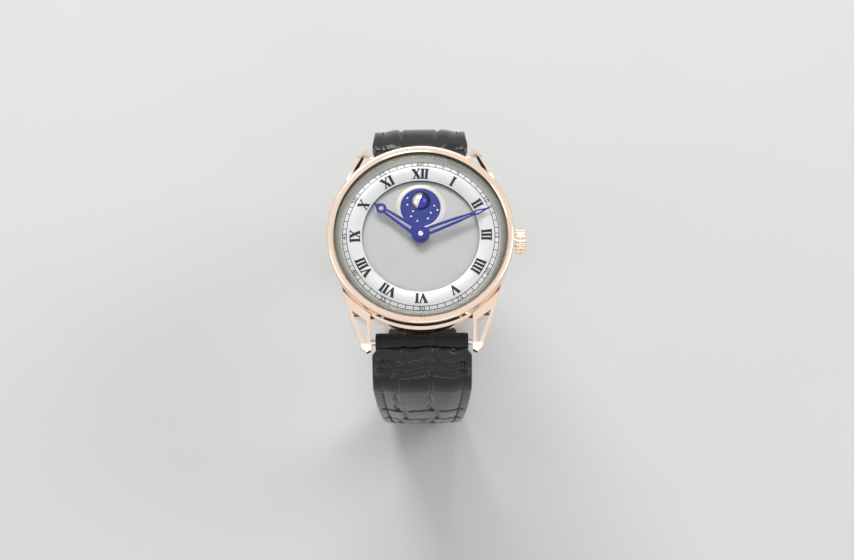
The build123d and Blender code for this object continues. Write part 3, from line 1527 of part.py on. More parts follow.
with BuildPart() as crown:
    with BuildSketch(stem_plane(crown_place_x)):
        Circle(crown_radius)
        with PolarLocations(crown_radius, crown_flute_count):
            Circle(crown_flute_radius, mode=Mode.SUBTRACT)
    extrude(amount=crown_length)
    with BuildSketch(Plane.XZ):
        with BuildLine():
            Polyline(
                (crown_place_x, stem_z),
                (crown_place_x, stem_z + crown_radius - crown_edge_radius),
                (crown_place_x + crown_edge_radius, stem_z + crown_radius),
                (crown_place_x + crown_length - crown_edge_radius, stem_z + crown_radius),
                (crown_place_x + crown_length, stem_z + crown_radius - crown_edge_radius),
                (crown_place_x + crown_length, stem_z),
                close=True,
            )
        make_face()
    stem_axis = Axis((0, 0, stem_z), (1, 0, 0))
    revolve(axis=stem_axis, mode=Mode.INTERSECT)
    with BuildSketch(stem_plane(crown_place_x + 0.5 * (crown_length - crown_groove_width))):
        Circle(crown_radius)
        Circle(crown_radius - crown_groove_depth, mode=Mode.SUBTRACT)
    extrude(amount=crown_groove_width, mode=Mode.SUBTRACT)
    with BuildSketch(stem_plane(crown_place_x)):
        Circle(crown_bore_radius)
    extrude(amount=crown_bore_depth, mode=Mode.SUBTRACT)
crown.part.label = "crown"
export_step(crown.part, "parts/crown.step")

# Strap paths in side view: runs of a length and a turn from the spring bar on, flat at the foot
first_turn = start_heading - bend_heading
first_length = strap_bend_radius * radians(first_turn)
upper_runs = (
    (first_length, first_turn),
    (strap_upper_length - first_length, bend_heading - upper_heading),
)


def station(runs, distance):
    """Place in side view and heading of a strap path at a distance from the spring bar."""
    y = spring_bar_y
    z = spring_bar_z
    heading = radians(start_heading)
    for length, turn in runs:
        run = min(distance, length)
        if turn:
            radius = length / radians(turn)
            next_heading = heading - run / radius
            y += radius * (sin(heading) - sin(next_heading))
            z += radius * (cos(next_heading) - cos(heading))
            heading = next_heading
        else:
            y += run * cos(heading)
            z += run * sin(heading)
        distance -= run
    return y, z, heading


def thickness_at(distance):
    """Thickness of the strap, which is padded near the case."""
    share = min(distance / strap_thinning_length, 1)
    return strap_root_thickness + share * (strap_thickness - strap_root_thickness)


buckle_y, buckle_z = station(upper_runs, strap_upper_length)[:2]
buckle_bottom_z = buckle_z - buckle_reach
floor_z = buckle_bottom_z - seat_clearance
bend_z = station(upper_runs, first_length)[1]
foot_turn = 180 + lower_heading
foot_z = floor_z + 0.5 * strap_thickness
foot_drop = strap_foot_bend_radius * (1 + cos(radians(lower_heading)))
side_drop = bend_z - foot_z - foot_drop
side_radius = side_drop / (cos(radians(bend_heading)) - cos(radians(lower_heading)))
curved_runs = (
    (first_length, first_turn),
    (side_radius * radians(bend_heading - lower_heading), bend_heading - lower_heading),
    (strap_foot_bend_radius * radians(foot_turn), foot_turn),
)
curved_length = sum(length for length, turn in curved_runs)
foot_start_y = station(curved_runs, curved_length)[0]
foot_length = foot_start_y + strap_tip_y
lower_runs = (*curved_runs, (foot_length, 0))
strap_lower_length = curved_length + foot_length


def edge_triples(runs, side, share, inset, stops):
    """Start, middle and end of each arc of a strap edge, a share of the thickness off the path and inset."""
    triples = []
    for first, last in zip(stops, stops[1:]):
        triple = []
        for distance in (first, 0.5 * (first + last), last):
            y, z, heading = station(runs, distance)
            offset = share * thickness_at(distance) + inset
            triple.append((side * (y - offset * sin(heading)), z + offset * cos(heading)))
        triples.append(triple)
    return triples


def strap_layer(runs, side, outer, inner, stops, flat_end):
    """Layer of a strap half between two edges, tapered in width and narrowed between the lugs."""
    outer_edge = edge_triples(runs, side, *outer, stops)
    inner_edge = edge_triples(runs, side, *inner, stops)
    with BuildPart() as layer:
        with BuildSketch(Plane.YZ):
            with BuildLine():
                for edge in (outer_edge, inner_edge):
                    for index, (start, middle, end) in enumerate(edge):
                        if flat_end and index == len(edge) - 1:
                            Line(start, end)
                        else:
                            ThreePointArc(start, middle, end)
                Line(outer_edge[0][0], inner_edge[0][0])
                Line(outer_edge[-1][2], inner_edge[-1][2])
            make_face()
        extrude(amount=0.5 * strap_width, both=True)
    return layer


def cut_to_width(layer):
    """Strap layer cut to the taper from the case to the end and to the narrow part between the lugs."""
    half = 0.5 * strap_width
    end_half = 0.5 * strap_end_width
    with BuildPart() as cut:
        add(layer.part)
        with BuildSketch(Plane.XZ):
            Polygon(
                (-half, spring_bar_radius + strap_root_thickness),
                (-half, strap_taper_top_z),
                (-end_half, strap_taper_end_z),
                (-end_half, floor_z),
                (end_half, floor_z),
                (end_half, strap_taper_end_z),
                (half, strap_taper_top_z),
                (half, spring_bar_radius + strap_root_thickness),
            )
        extrude(amount=2 * case_radius, both=True, mode=Mode.INTERSECT)
        with BuildSketch(Plane.XZ):
            with Locations((0, spring_bar_z)):
                Rectangle(2 * strap_width, 2 * strap_root_thickness)
                Rectangle(strap_fixing_width, 2 * strap_root_thickness, mode=Mode.SUBTRACT)
        extrude(amount=strap_fixing_y, both=True, mode=Mode.SUBTRACT)
    return cut


lining_start = strap_root_roll_radius + running_clearance
upper_lining_end = strap_upper_length - tongue_slot_radius - running_clearance
upper_stops = (0, lining_start, first_length, strap_thinning_length, upper_lining_end, strap_upper_length)
lower_stops = (
    0,
    lining_start,
    first_length,
    strap_thinning_length,
    curved_length - curved_runs[-1][0],
    curved_length,
    strap_lower_length,
)
outer_edge_offset = (0.5, 0)
seam_offset = (-0.5, lining_thickness)
inner_edge_offset = (-0.5, 0)
spring_bar_bore = spring_bar_radius + running_clearance
buckle_bar_bore = buckle_bar_radius + running_clearance

with BuildPart() as strap_upper:
    add(cut_to_width(strap_layer(upper_runs, 1, outer_edge_offset, seam_offset, upper_stops, False)).part)
    with BuildSketch(Plane(origin=(0, spring_bar_y, spring_bar_z), z_dir=(1, 0, 0))):
        Circle(strap_root_roll_radius)
    extrude(amount=0.5 * strap_fixing_width, both=True)
    with BuildSketch(Plane(origin=(0, buckle_y, buckle_z), z_dir=(1, 0, 0))):
        Circle(strap_end_roll_radius)
    extrude(amount=0.5 * strap_end_width, both=True)
    with BuildSketch(Plane(origin=(0, buckle_y, buckle_z), z_dir=(1, 0, 0))):
        Circle(tongue_slot_radius)
    extrude(amount=tongue_slot_half_width, both=True, mode=Mode.SUBTRACT)
    with BuildSketch(Plane(origin=(0, spring_bar_y, spring_bar_z), z_dir=(1, 0, 0))):
        Circle(spring_bar_bore)
    extrude(amount=strap_width, both=True, mode=Mode.SUBTRACT)
    with BuildSketch(Plane(origin=(0, buckle_y, buckle_z), z_dir=(1, 0, 0))):
        Circle(buckle_bar_bore)
    extrude(amount=strap_width, both=True, mode=Mode.SUBTRACT)
strap_upper.part.label = "strap_upper"
export_step(strap_upper.part, "parts/strap_upper.step")

with BuildPart() as strap_upper_lining:
    lining_layer = strap_layer(upper_runs, 1, seam_offset, inner_edge_offset, upper_stops[1:-1], False)
    add(cut_to_width(lining_layer).part)
    with BuildSketch(Plane(origin=(0, spring_bar_y, spring_bar_z), z_dir=(1, 0, 0))):
        Circle(strap_root_roll_radius)
    extrude(amount=strap_width, both=True, mode=Mode.SUBTRACT)
strap_upper_lining.part.label = "strap_upper_lining"
export_step(strap_upper_lining.part, "parts/strap_upper_lining.step")


def pointed_end(layer):
    """Lower strap layer with its free end cut to a blunt point and its row of holes."""
    half = 0.5 * strap_end_width
    with BuildPart() as cut:
        add(layer.part)
        for side in (1, -1):
            with BuildSketch(Plane.XY.offset(floor_z)):
                Polygon(
                    (side * half, strap_tip_y - strap_tip_length),
                    (side * half, strap_tip_y),
                    (side * strap_tip_half_width, strap_tip_y),
                )
            extrude(amount=2 * strap_thickness, mode=Mode.SUBTRACT)
        for index in range(strap_hole_count):
            distance = strap_lower_length - strap_hole_setback - index * strap_hole_spacing
            y, z, heading = station(lower_runs, distance)
            hole_plane = Plane(origin=(0, -y, z), x_dir=(1, 0, 0), z_dir=(0, sin(heading), cos(heading)))
            with BuildSketch(hole_plane):
                Circle(strap_hole_radius)
            extrude(amount=strap_root_thickness, both=True, mode=Mode.SUBTRACT)
    return cut


with BuildPart() as strap_lower:
    add(pointed_end(cut_to_width(
        strap_layer(lower_runs, -1, outer_edge_offset, seam_offset, lower_stops, True)
    )).part)
    with BuildSketch(Plane(origin=(0, -spring_bar_y, spring_bar_z), z_dir=(1, 0, 0))):
        Circle(strap_root_roll_radius)
    extrude(amount=0.5 * strap_fixing_width, both=True)
    with BuildSketch(Plane(origin=(0, -spring_bar_y, spring_bar_z), z_dir=(1, 0, 0))):
        Circle(spring_bar_bore)
    extrude(amount=strap_width, both=True, mode=Mode.SUBTRACT)
strap_lower.part.label = "strap_lower"
export_step(strap_lower.part, "parts/strap_lower.step")

with BuildPart() as strap_lower_lining:
    add(pointed_end(cut_to_width(
        strap_layer(lower_runs, -1, seam_offset, inner_edge_offset, lower_stops[1:], True)
    )).part)
    with BuildSketch(Plane(origin=(0, -spring_bar_y, spring_bar_z), z_dir=(1, 0, 0))):
        Circle(strap_root_roll_radius)
    extrude(amount=strap_width, both=True, mode=Mode.SUBTRACT)
strap_lower_lining.part.label = "strap_lower_lining"
export_step(strap_lower_lining.part, "parts/strap_lower_lining.step")

# Keepers: rings round the strap with room for the free end, drawn across its path
for keeper_name, setback in (("fixed_keeper", fixed_keeper_setback), ("free_keeper", free_keeper_setback)):
    keeper_y, keeper_z, heading = station(upper_runs, strap_upper_length - setback)
    taper_share = (strap_taper_top_z - keeper_z) / (strap_taper_top_z - strap_taper_end_z)
    local_width = strap_width + taper_share * (strap_end_width - strap_width)
    inner_half = 0.5 * local_width + keeper_side_gap
    keeper_inside = 0.5 * strap_thickness + keeper_inner_gap
    keeper_outside = 1.5 * strap_thickness + keeper_outer_gap
    keeper_height = keeper_inside + keeper_outside
    keeper_middle = 0.5 * (keeper_inside - keeper_outside)
    keeper_plane = Plane(
        origin=(0, keeper_y, keeper_z),
        x_dir=(1, 0, 0),
        z_dir=(0, cos(heading), sin(heading)),
    )
    with BuildPart() as keeper:
        with BuildSketch(keeper_plane):
            with Locations((0, keeper_middle)):
                RectangleRounded(
                    2 * (inner_half + keeper_wall),
                    keeper_height + 2 * keeper_wall,
                    keeper_corner_radius + keeper_wall,
                )
                RectangleRounded(2 * inner_half, keeper_height, keeper_corner_radius, mode=Mode.SUBTRACT)
        extrude(amount=0.5 * keeper_width, both=True)
    keeper.part.label = keeper_name
    export_step(keeper.part, f"parts/{keeper_name}.step")

# Buckle: frame, bar and tongue, hanging from the end of the upper strap half
buckle_half = 0.5 * buckle_width
with BuildPart() as buckle_frame:
    with BuildSketch(Plane(origin=(0, buckle_y, 0), x_dir=(1, 0, 0), z_dir=(0, -1, 0))):
        with BuildLine():
            Polyline(
                (-buckle_half, buckle_z),
                (-buckle_half, buckle_bottom_z + buckle_corner_radius),
                (-buckle_half + buckle_corner_radius, buckle_bottom_z),
                (buckle_half - buckle_corner_radius, buckle_bottom_z),
                (buckle_half, buckle_bottom_z + buckle_corner_radius),
                (buckle_half, buckle_z),
                (buckle_half - buckle_arm, buckle_z),
                (buckle_half - buckle_arm, buckle_bottom_z + buckle_front),
                (-buckle_half + buckle_arm, buckle_bottom_z + buckle_front),
                (-buckle_half + buckle_arm, buckle_z),
                close=True,
            )
        make_face()
    extrude(amount=0.5 * buckle_thickness, both=True)
    for side in (1, -1):
        ear_x = side * (buckle_half - 0.5 * buckle_arm)
        with BuildSketch(Plane(origin=(ear_x, buckle_y, buckle_z), z_dir=(1, 0, 0))):
            Circle(buckle_ear_radius)
        extrude(amount=0.5 * buckle_arm, both=True)
    with BuildSketch(Plane(origin=(0, buckle_y, buckle_z), z_dir=(1, 0, 0))):
        Circle(buckle_bar_radius)
    extrude(amount=buckle_width, both=True, mode=Mode.SUBTRACT)
buckle_frame.part.label = "buckle_frame"
export_step(buckle_frame.part, "parts/buckle_frame.step")

with BuildPart() as buckle_bar:
    with BuildSketch(Plane(origin=(0, buckle_y, buckle_z), z_dir=(1, 0, 0))):
        Circle(buckle_bar_radius)
    extrude(amount=buckle_half, both=True)
buckle_bar.part.label = "buckle_bar"
export_step(buckle_bar.part, "parts/buckle_bar.step")

tongue_inner_y = buckle_y + 0.5 * buckle_thickness + running_clearance
tongue_outer_y = tongue_inner_y + tongue_thickness
with BuildPart() as buckle_tongue:
    with BuildSketch(Plane.YZ):
        with Locations((buckle_y, buckle_z)):
            Circle(tongue_ring_radius)
        Polygon(
            (buckle_y, buckle_z - tongue_ring_radius),
            (tongue_inner_y, buckle_z - tongue_ring_radius - buckle_thickness),
            (tongue_inner_y, buckle_bottom_z + tongue_tip_length),
            (tongue_outer_y, buckle_bottom_z + tongue_tip_length),
            (tongue_outer_y, buckle_z - tongue_ring_radius),
            (buckle_y + tongue_ring_radius, buckle_z),
        )
        with Locations((buckle_y, buckle_z)):
            Circle(buckle_bar_bore, mode=Mode.SUBTRACT)
    extrude(amount=0.5 * tongue_width, both=True)
buckle_tongue.part.label = "buckle_tongue"
export_step(buckle_tongue.part, "parts/buckle_tongue.step")
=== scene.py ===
"""Looks of a moon phase watch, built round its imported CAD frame."""

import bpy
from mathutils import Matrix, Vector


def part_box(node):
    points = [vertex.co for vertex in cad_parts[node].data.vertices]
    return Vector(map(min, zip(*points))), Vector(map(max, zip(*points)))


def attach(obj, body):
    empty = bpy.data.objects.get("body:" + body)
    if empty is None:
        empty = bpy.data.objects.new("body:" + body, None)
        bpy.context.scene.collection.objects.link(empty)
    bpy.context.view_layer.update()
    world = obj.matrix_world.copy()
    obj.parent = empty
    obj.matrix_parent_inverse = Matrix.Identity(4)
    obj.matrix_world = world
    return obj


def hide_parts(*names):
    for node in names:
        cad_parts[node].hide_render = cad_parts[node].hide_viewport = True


bl_info = {
    "name": "Moon Phase Watch",
    "version": (1, 0, 0),
    "blender": (4, 5, 0),
    "location": "View3D > Sidebar > Watch",
    "description": "Builds the dial, strap, finishes and stage of a moon phase watch",
    "category": "Object",
}

from math import cos, pi, radians, sin

import bmesh
import bpy
import numpy as np
from mathutils import Matrix, Vector

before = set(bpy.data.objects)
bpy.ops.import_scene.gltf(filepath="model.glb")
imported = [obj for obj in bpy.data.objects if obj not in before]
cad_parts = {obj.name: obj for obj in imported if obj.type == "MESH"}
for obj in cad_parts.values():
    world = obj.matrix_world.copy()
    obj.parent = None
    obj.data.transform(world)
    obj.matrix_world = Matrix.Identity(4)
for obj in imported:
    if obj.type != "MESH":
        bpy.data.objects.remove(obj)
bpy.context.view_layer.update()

MM = 0.001
FLOOR_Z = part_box("strap_lower")[0].z / MM
WHITE = (1, 1, 1, 1)


def length(name, description, default):
    """Length property in metres from a default in millimetres."""
    return bpy.props.FloatProperty(name=name, description=description, default=default * MM, unit="LENGTH")


def angle(name, description, default):
    """Angle property in radians from a default in degrees."""
    return bpy.props.FloatProperty(
        name=name, description=description, default=radians(default), subtype="ANGLE"
    )


def colour(name, description, default):
    """Colour property, red, green and blue."""
    return bpy.props.FloatVectorProperty(
        name=name, description=description, default=default, size=3, min=0, max=1, subtype="COLOR"
    )


class WatchDialSizes(bpy.types.PropertyGroup):
    """Sizes of the printing and trim on the dial."""

    numeral_inner: length("Numeral foot radius", "Radius of the feet of the Roman hours", 14.2)
    numeral_height: length("Numeral height", "Height of the Roman hours", 2.5)
    track_inner: length("Track inner radius", "Inner radius of the minute track", 17.3)
    track_outer: length("Track outer radius", "Outer radius of the minute track", 18.42)
    track_line: length("Track line", "Width of the lines of the minute track", 0.14)
    minute_height: length("Minute numeral height", "Height of the small minute numerals", 0.92)
    print_height: length("Print height", "How far the print stands on the dial", 0.04)
    star_radius: length("Star pin radius", "Radius of the round star pins", 0.22)


class WatchStrapSizes(bpy.types.PropertyGroup):
    """Sizes of the sewn leather strap."""

    upper_length: length("Upper length", "Length of the buckle half", 70)
    root_thickness: length("Root thickness", "Thickness at the padded case end", 4.2)
    end_thickness: length("End thickness", "Thickness away from the padding", 2.6)
    edge_thickness: length("Edge thickness", "Thickness at the sewn edges", 2.3)
    stitch_inset: length("Stitch inset", "Distance of the sewing line from the edge", 2.1)
    stitch_pitch: length("Stitch pitch", "Distance from one stitch to the next", 2.5)
    scale_depth: length("Scale depth", "Depth of the folds between the leather scales", 0.42)


class WatchColours(bpy.types.PropertyGroup):
    """Colours of the finishes."""

    gold: colour("Rose gold", "Polished case", (0.87, 0.69, 0.56))
    flange: colour("Flange", "Satin inner flange", (0.52, 0.51, 0.46))
    dial: colour("Dial", "Sunk middle of the dial", (0.58, 0.59, 0.58))
    chapter: colour("Chapter ring", "Domed ring with the hours", (0.80, 0.81, 0.81))
    halo: colour("Window ring", "Wide ring round the moon window", (0.76, 0.75, 0.71))
    ink: colour("Ink", "Printed hours", (0.006, 0.010, 0.022))
    blued: colour("Blued steel", "Hands", (0.030, 0.042, 0.30))
    sky: colour("Sky", "Blue disc of the moon window", (0.018, 0.034, 0.23))
    moon_light: colour("Light moon", "Silver half of the moon", (0.80, 0.78, 0.72))
    moon_dark: colour("Dark moon", "Dark half of the moon", (0.045, 0.055, 0.36))
    leather: colour("Leather", "Glossy black leather", (0.007, 0.007, 0.008))
    lining: colour("Lining", "Inside of the strap", (0.028, 0.020, 0.016))
    thread: colour("Thread", "Waxed sewing thread", (0.020, 0.020, 0.022))
    brass: colour("Brass", "Gilt wheels", (0.80, 0.58, 0.26))
    steel: colour("Steel", "Polished steel", (0.62, 0.63, 0.65))
    nickel: colour("Nickel", "Plates and bridges", (0.70, 0.69, 0.66))
    ruby: colour("Ruby", "Jewels", (0.50, 0.01, 0.06))
    floor: colour("Floor", "Pale floor", (0.86, 0.86, 0.85))


class WatchStage(bpy.types.PropertyGroup):
    """Camera and floor."""

    camera_distance: length("Camera distance", "From the camera to the point that it looks at", 600)
    camera_height: angle("Camera height", "Angle above the dial", 71.648)
    camera_roll: angle("Camera roll", "Turn about the line of sight", -0.63)
    camera_lens: bpy.props.FloatProperty(name="Lens", description="Focal length in mm", default=108.6, min=1)
    floor_size: length("Floor size", "Width of the floor", 3000)


# Finishes


def add_node(tree, kind, inputs=None, **settings):
    """New node with its settings and the values or links of its inputs."""
    node = tree.nodes.new(kind)
    for setting, value in settings.items():
        setattr(node, setting, value)
    for key, value in (inputs or {}).items():
        if isinstance(value, bpy.types.NodeSocket):
            tree.links.new(value, node.inputs[key])
        else:
            node.inputs[key].default_value = value
    return node


def brighter(base, factor, more=0.0):
    """Colour times a factor plus an amount, up to white."""
    return tuple(min(c * factor + more, 1) for c in base)


class Finish:
    """Node material with its shader and short ways to wire detail into it."""

    def __init__(self, name, base, metallic=0.0, roughness=0.4, **sockets):
        self.material = bpy.data.materials.new(name)
        self.material.use_nodes = True
        self.tree = self.material.node_tree
        self.shader = self.tree.nodes["Principled BSDF"]
        self.place = self.node("ShaderNodeTexCoord").outputs["Object"]
        self.base = tuple(base)
        self.material.diffuse_color = (*base, 1)
        self.last_bump = None
        sockets.update(Base_Color=(*base, 1), Metallic=metallic, Roughness=roughness)
        for socket, value in sockets.items():
            self.shader.inputs[socket.replace("_", " ")].default_value = value

    def node(self, kind, inputs=None, **settings):
        """New node of this material."""
        return add_node(self.tree, kind, inputs, **settings)

    def math(self, operation, *values):
        """Result of a sum over values."""
        return self.node("ShaderNodeMath", dict(enumerate(values)), operation=operation).outputs[0]

    def link(self, socket, value):
        """Links a socket of the shader."""
        self.tree.links.new(value, self.shader.inputs[socket])

    def stretch(self, scale):
        """Object coordinates scaled along each axis."""
        return self.node("ShaderNodeVectorMath", {0: self.place, 1: scale}, operation="MULTIPLY").outputs[0]

    def turned(self, centre=(0, 0, 0), along=1.0, across=1.0):
        """Coordinates round an upright axis: angle times along, radius times across."""
        moved = self.node("ShaderNodeVectorMath", {0: self.place, 1: centre}, operation="SUBTRACT")
        x, y = self.node("ShaderNodeSeparateXYZ", {0: moved.outputs[0]}).outputs[:2]
        flat = self.node("ShaderNodeCombineXYZ", {0: x, 1: y, 2: 0.0}).outputs[0]
        radius = self.node("ShaderNodeVectorMath", {0: flat}, operation="LENGTH").outputs["Value"]
        turn = self.math("MULTIPLY", self.math("ARCTAN2", y, x), along)
        inputs = {0: turn, 1: self.math("MULTIPLY", radius, across), 2: 0.0}
        return self.node("ShaderNodeCombineXYZ", inputs).outputs[0]

    def noise(self, scale, vector=None, detail=4.0, rough=0.55):
        """Noise over the object."""
        inputs = {"Vector": vector or self.place, "Scale": scale, "Detail": detail, "Roughness": rough}
        return self.node("ShaderNodeTexNoise", inputs).outputs["Fac"]

    def cells(self, scale, feature="F1"):
        """Cell pattern over the object."""
        inputs = {"Vector": self.place, "Scale": scale}
        return self.node("ShaderNodeTexVoronoi", inputs, feature=feature).outputs["Distance"]

    def waves(self, scale, distortion, detail=2.0, **settings):
        """Wave pattern over the object."""
        inputs = {"Vector": self.place, "Scale": scale, "Distortion": distortion, "Detail": detail}
        return self.node("ShaderNodeTexWave", inputs, **settings).outputs["Fac"]

    def spread(self, value, low, high, start=0.3, end=0.7):
        """Value spread from one range to another."""
        return self.node("ShaderNodeMapRange", {0: value, 1: start, 2: end, 3: low, 4: high}).outputs[0]

    def tint(self, value, first, second):
        """Base colour that goes from a colour, or from an output, to another colour."""
        first = first if isinstance(first, bpy.types.NodeSocket) else (*first, 1)
        mixed = self.node("ShaderNodeMix", {0: value, 6: first, 7: (*second, 1)}, data_type="RGBA").outputs[2]
        self.link("Base Color", mixed)
        return mixed

    def work(self, pattern, vary=0, rough=None, relief=None):
        """Lets a pattern vary the colour by a share, the roughness from low to high, and the relief.

        The relief is a strength and a depth in millimetres, laid over any that is there.
        """
        tinted = vary and self.tint(pattern, brighter(self.base, 1 - vary), brighter(self.base, 1 + vary))
        if rough:
            self.link("Roughness", self.spread(pattern, *rough))
        if relief:
            inputs = {"Height": pattern, "Strength": relief[0], "Distance": relief[1] * MM}
            if self.last_bump:
                inputs["Normal"] = self.last_bump
            self.last_bump = self.node("ShaderNodeBump", inputs).outputs[0]
            self.link("Normal", self.last_bump)
        return tinted


def polished_metal(name, base, roughness):
    """Polished metal with fine scratches, softer patches and a slight change of colour."""
    finish = Finish(name, base, metallic=1.0)
    finish.work(finish.noise(90, detail=3), vary=0.05)
    finish.work(finish.noise(420, detail=5), rough=(roughness * 0.75, roughness + 0.05))
    finish.work(finish.noise(900, finish.stretch((1, 9, 2)), detail=2), relief=(0.06, 0.02))
    return finish


def turned_metal(name, base, centre=(0, 0, 0), roughness=0.28, rings=9000, rays=2.0):
    """Metal turned or brushed round an upright axis."""
    finish = Finish(name, base, metallic=1.0)
    grain = finish.noise(1, finish.turned(centre, rays, rings), detail=3)
    finish.work(grain, 0.08, (roughness * 0.8, roughness * 1.25), (0.12, 0.02))
    return finish


def grained_flange(name, base):
    """Satin flange with a fine grain up its slope, with painted shade from light at its foot to dark at the
    bezel.
    """
    finish = Finish(name, base, metallic=0.7)
    low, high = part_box("inner_flange")
    height = finish.node("ShaderNodeSeparateXYZ", {0: finish.place}).outputs[2]
    # Painted shade by height: the colour goes from 1.45 times the base at the foot to 0.45 times the base
    # under the bezel.
    rise = finish.spread(height, 0, 1, low.z, high.z)
    grain = finish.noise(1, finish.turned(along=190, across=260), detail=3)
    shade = finish.math("ADD", rise, finish.spread(grain, -0.22, 0.22))
    finish.tint(shade, brighter(base, 1.45), brighter(base, 0.45))
    finish.work(grain, rough=(0.34, 0.52), relief=(0.25, 0.03))
    return finish


def striped_nickel(name, base):
    """Plated bridges with broad polished stripes and a fine cross grain."""
    finish = Finish(name, base, metallic=1.0)
    finish.work(finish.waves(210, 0.3, 1.0, wave_profile="SAW"), vary=0.10, relief=(0.35, 0.06))
    grain = finish.noise(1, finish.stretch((9000, 900, 900)), detail=2)
    finish.work(grain, rough=(0.20, 0.34), relief=(0.10, 0.01))
    return finish


def pearled_nickel(name, base):
    """Plated main plate with overlapping round polishing marks."""
    finish = Finish(name, base, metallic=1.0)
    spots = finish.cells(650)
    finish.work(spots, vary=0.12)
    ripple = finish.math("SINE", finish.math("MULTIPLY", spots, 60.0))
    finish.work(ripple, rough=(0.24, 0.36, -1, 1), relief=(0.12, 0.01))
    return finish


def silvered_dial(name, base, painted_shade_radius=0.0):
    """Silvered dial with fine rays from its middle and a soft mottling, with painted shade, near black,
    inside a radius.
    """
    finish = Finish(name, base, metallic=0.12, Specular_IOR_Level=0.3)
    rays = finish.noise(1, finish.turned(along=70, across=60), detail=3)
    mottle = finish.noise(160)
    silver = finish.work(finish.spread(finish.math("MULTIPLY", rays, mottle), 0, 1, 0.15, 0.40), vary=0.035)
    if painted_shade_radius:
        radius = finish.node("ShaderNodeSeparateXYZ", {0: finish.turned()}).outputs[1]
        # Painted shade: near black inside the radius, on the inner wall of the chapter ring's step.
        finish.tint(finish.math("LESS_THAN", radius, painted_shade_radius), silver, (0.012, 0.012, 0.012))
    finish.work(rays, rough=(0.36, 0.48))
    finish.work(mottle, relief=(0.05, 0.02))
    return finish


def blued_steel(name, base):
    """Heat-blued steel that runs from deep blue to violet."""
    finish = Finish(name, base, metallic=0.9)
    violet = (base[0] * 1.7, base[1] * 1.1, base[2] * 0.9)
    finish.tint(finish.spread(finish.noise(260, detail=3), 0, 1), base, violet)
    brush = finish.noise(1, finish.stretch((2500, 9000, 2500)), detail=2)
    finish.work(brush, rough=(0.16, 0.26), relief=(0.06, 0.01))
    return finish


def night_sky(name, base):
    """Deep blue lacquer with tiny flecks under a clear coat."""
    finish = Finish(name, base, metallic=0.3, Specular_IOR_Level=0.3, Coat_Weight=0.15, Coat_Roughness=0.08)
    flecks = finish.cells(5200)
    finish.tint(finish.spread(flecks, 1, 0, 0.05, 0.20), base, brighter(base, 1.3, 0.006))
    finish.work(finish.noise(700, detail=3), rough=(0.28, 0.42))
    finish.work(flecks, relief=(0.04, 0.01))
    return finish


def moon_metal(name, base, roughness, metallic):
    """Polished half moon with shallow round craters."""
    finish = Finish(name, base, metallic=metallic, Specular_IOR_Level=0.7)
    finish.work(finish.noise(600, detail=5), 0.18, (roughness, roughness + 0.12))
    finish.work(finish.cells(1900, "SMOOTH_F1"), relief=(0.10, 0.05))
    return finish


def printed_ink(name, base):
    """Thick printed ink, slightly glossy with a fine pebble."""
    finish = Finish(name, base, Specular_IOR_Level=0.2)
    finish.work(finish.noise(6000, detail=3), 0.25, (0.36, 0.5), (0.10, 0.01))
    return finish


def scaled_leather(name, base):
    """Glossy black leather: fine pores and wrinkles, duller in the folds, with painted shade that darkens the
    folds.
    """
    finish = Finish(name, base, Specular_IOR_Level=0.20, Coat_Weight=0.52, Coat_Roughness=0.12)
    fold_dullness_and_shade = finish.node("ShaderNodeAttribute", attribute_name="fold").outputs["Fac"]
    # Painted shade: the folds are darkened to half the leather's colour.
    finish.tint(fold_dullness_and_shade, brighter(base, 0.5), base)
    glaze = finish.math("MULTIPLY", finish.noise(240, detail=3), 0.10)
    finish.link("Roughness", finish.math("ADD", finish.spread(fold_dullness_and_shade, 0.46, 0.22, 0, 1), glaze))
    finish.work(finish.noise(1500, detail=6, rough=0.65), relief=(0.22, 0.08))
    finish.work(finish.cells(2600), relief=(0.12, 0.04))
    return finish


def plain_leather(name, base, roughness=0.6):
    """Smooth calf leather with fine grain and rubbed patches."""
    finish = Finish(name, base, Specular_IOR_Level=0.3)
    finish.work(finish.noise(180), 0.30, (roughness - 0.12, roughness + 0.08))
    finish.work(finish.cells(2400, "DISTANCE_TO_EDGE"), relief=(0.35, 0.05))
    return finish


def waxed_thread(name, base):
    """Waxed thread with its twist."""
    finish = Finish(name, base, roughness=0.5)
    finish.work(finish.waves(1500, 1.0, bands_direction="DIAGONAL"), 0.4, (0.42, 0.6, 0, 1), (0.5, 0.05))
    return finish


def clear_glass(name):
    """Clear sapphire that lets the light through and keeps a faint surface haze."""
    finish = Finish(name, WHITE[:3], roughness=0.0, Transmission_Weight=1.0, IOR=1.22)
    finish.work(finish.noise(300, detail=2), rough=(0.0, 0.02))
    clear = finish.node("ShaderNodeBsdfTransparent").outputs[0]
    path = finish.node("ShaderNodeLightPath").outputs
    passing = finish.math("MAXIMUM", path["Is Shadow Ray"], path["Is Diffuse Ray"])
    mixed = finish.node("ShaderNodeMixShader", {0: passing, 1: finish.shader.outputs[0], 2: clear})
    finish.tree.links.new(mixed.outputs[0], finish.tree.nodes["Material Output"].inputs[0])
    return finish


def ruby_glass(name, base):
    """Polished red stone."""
    finish = Finish(name, base, roughness=0.08, Transmission_Weight=0.35, IOR=1.76)
    finish.work(finish.noise(1500, detail=3), 0.25, (0.04, 0.12))
    return finish


def centre_of(node):
    """Middle of a node in metres."""
    low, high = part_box(node)
    return tuple((low + high) / 2)


def dress(finish, *nodes):
    """Puts one finish on CAD nodes."""
    for node in nodes:
        slots = bpy.data.objects[node].data.materials
        if not slots:
            slots.append(finish.material)
        for index in range(len(slots)):
            slots[index] = finish.material


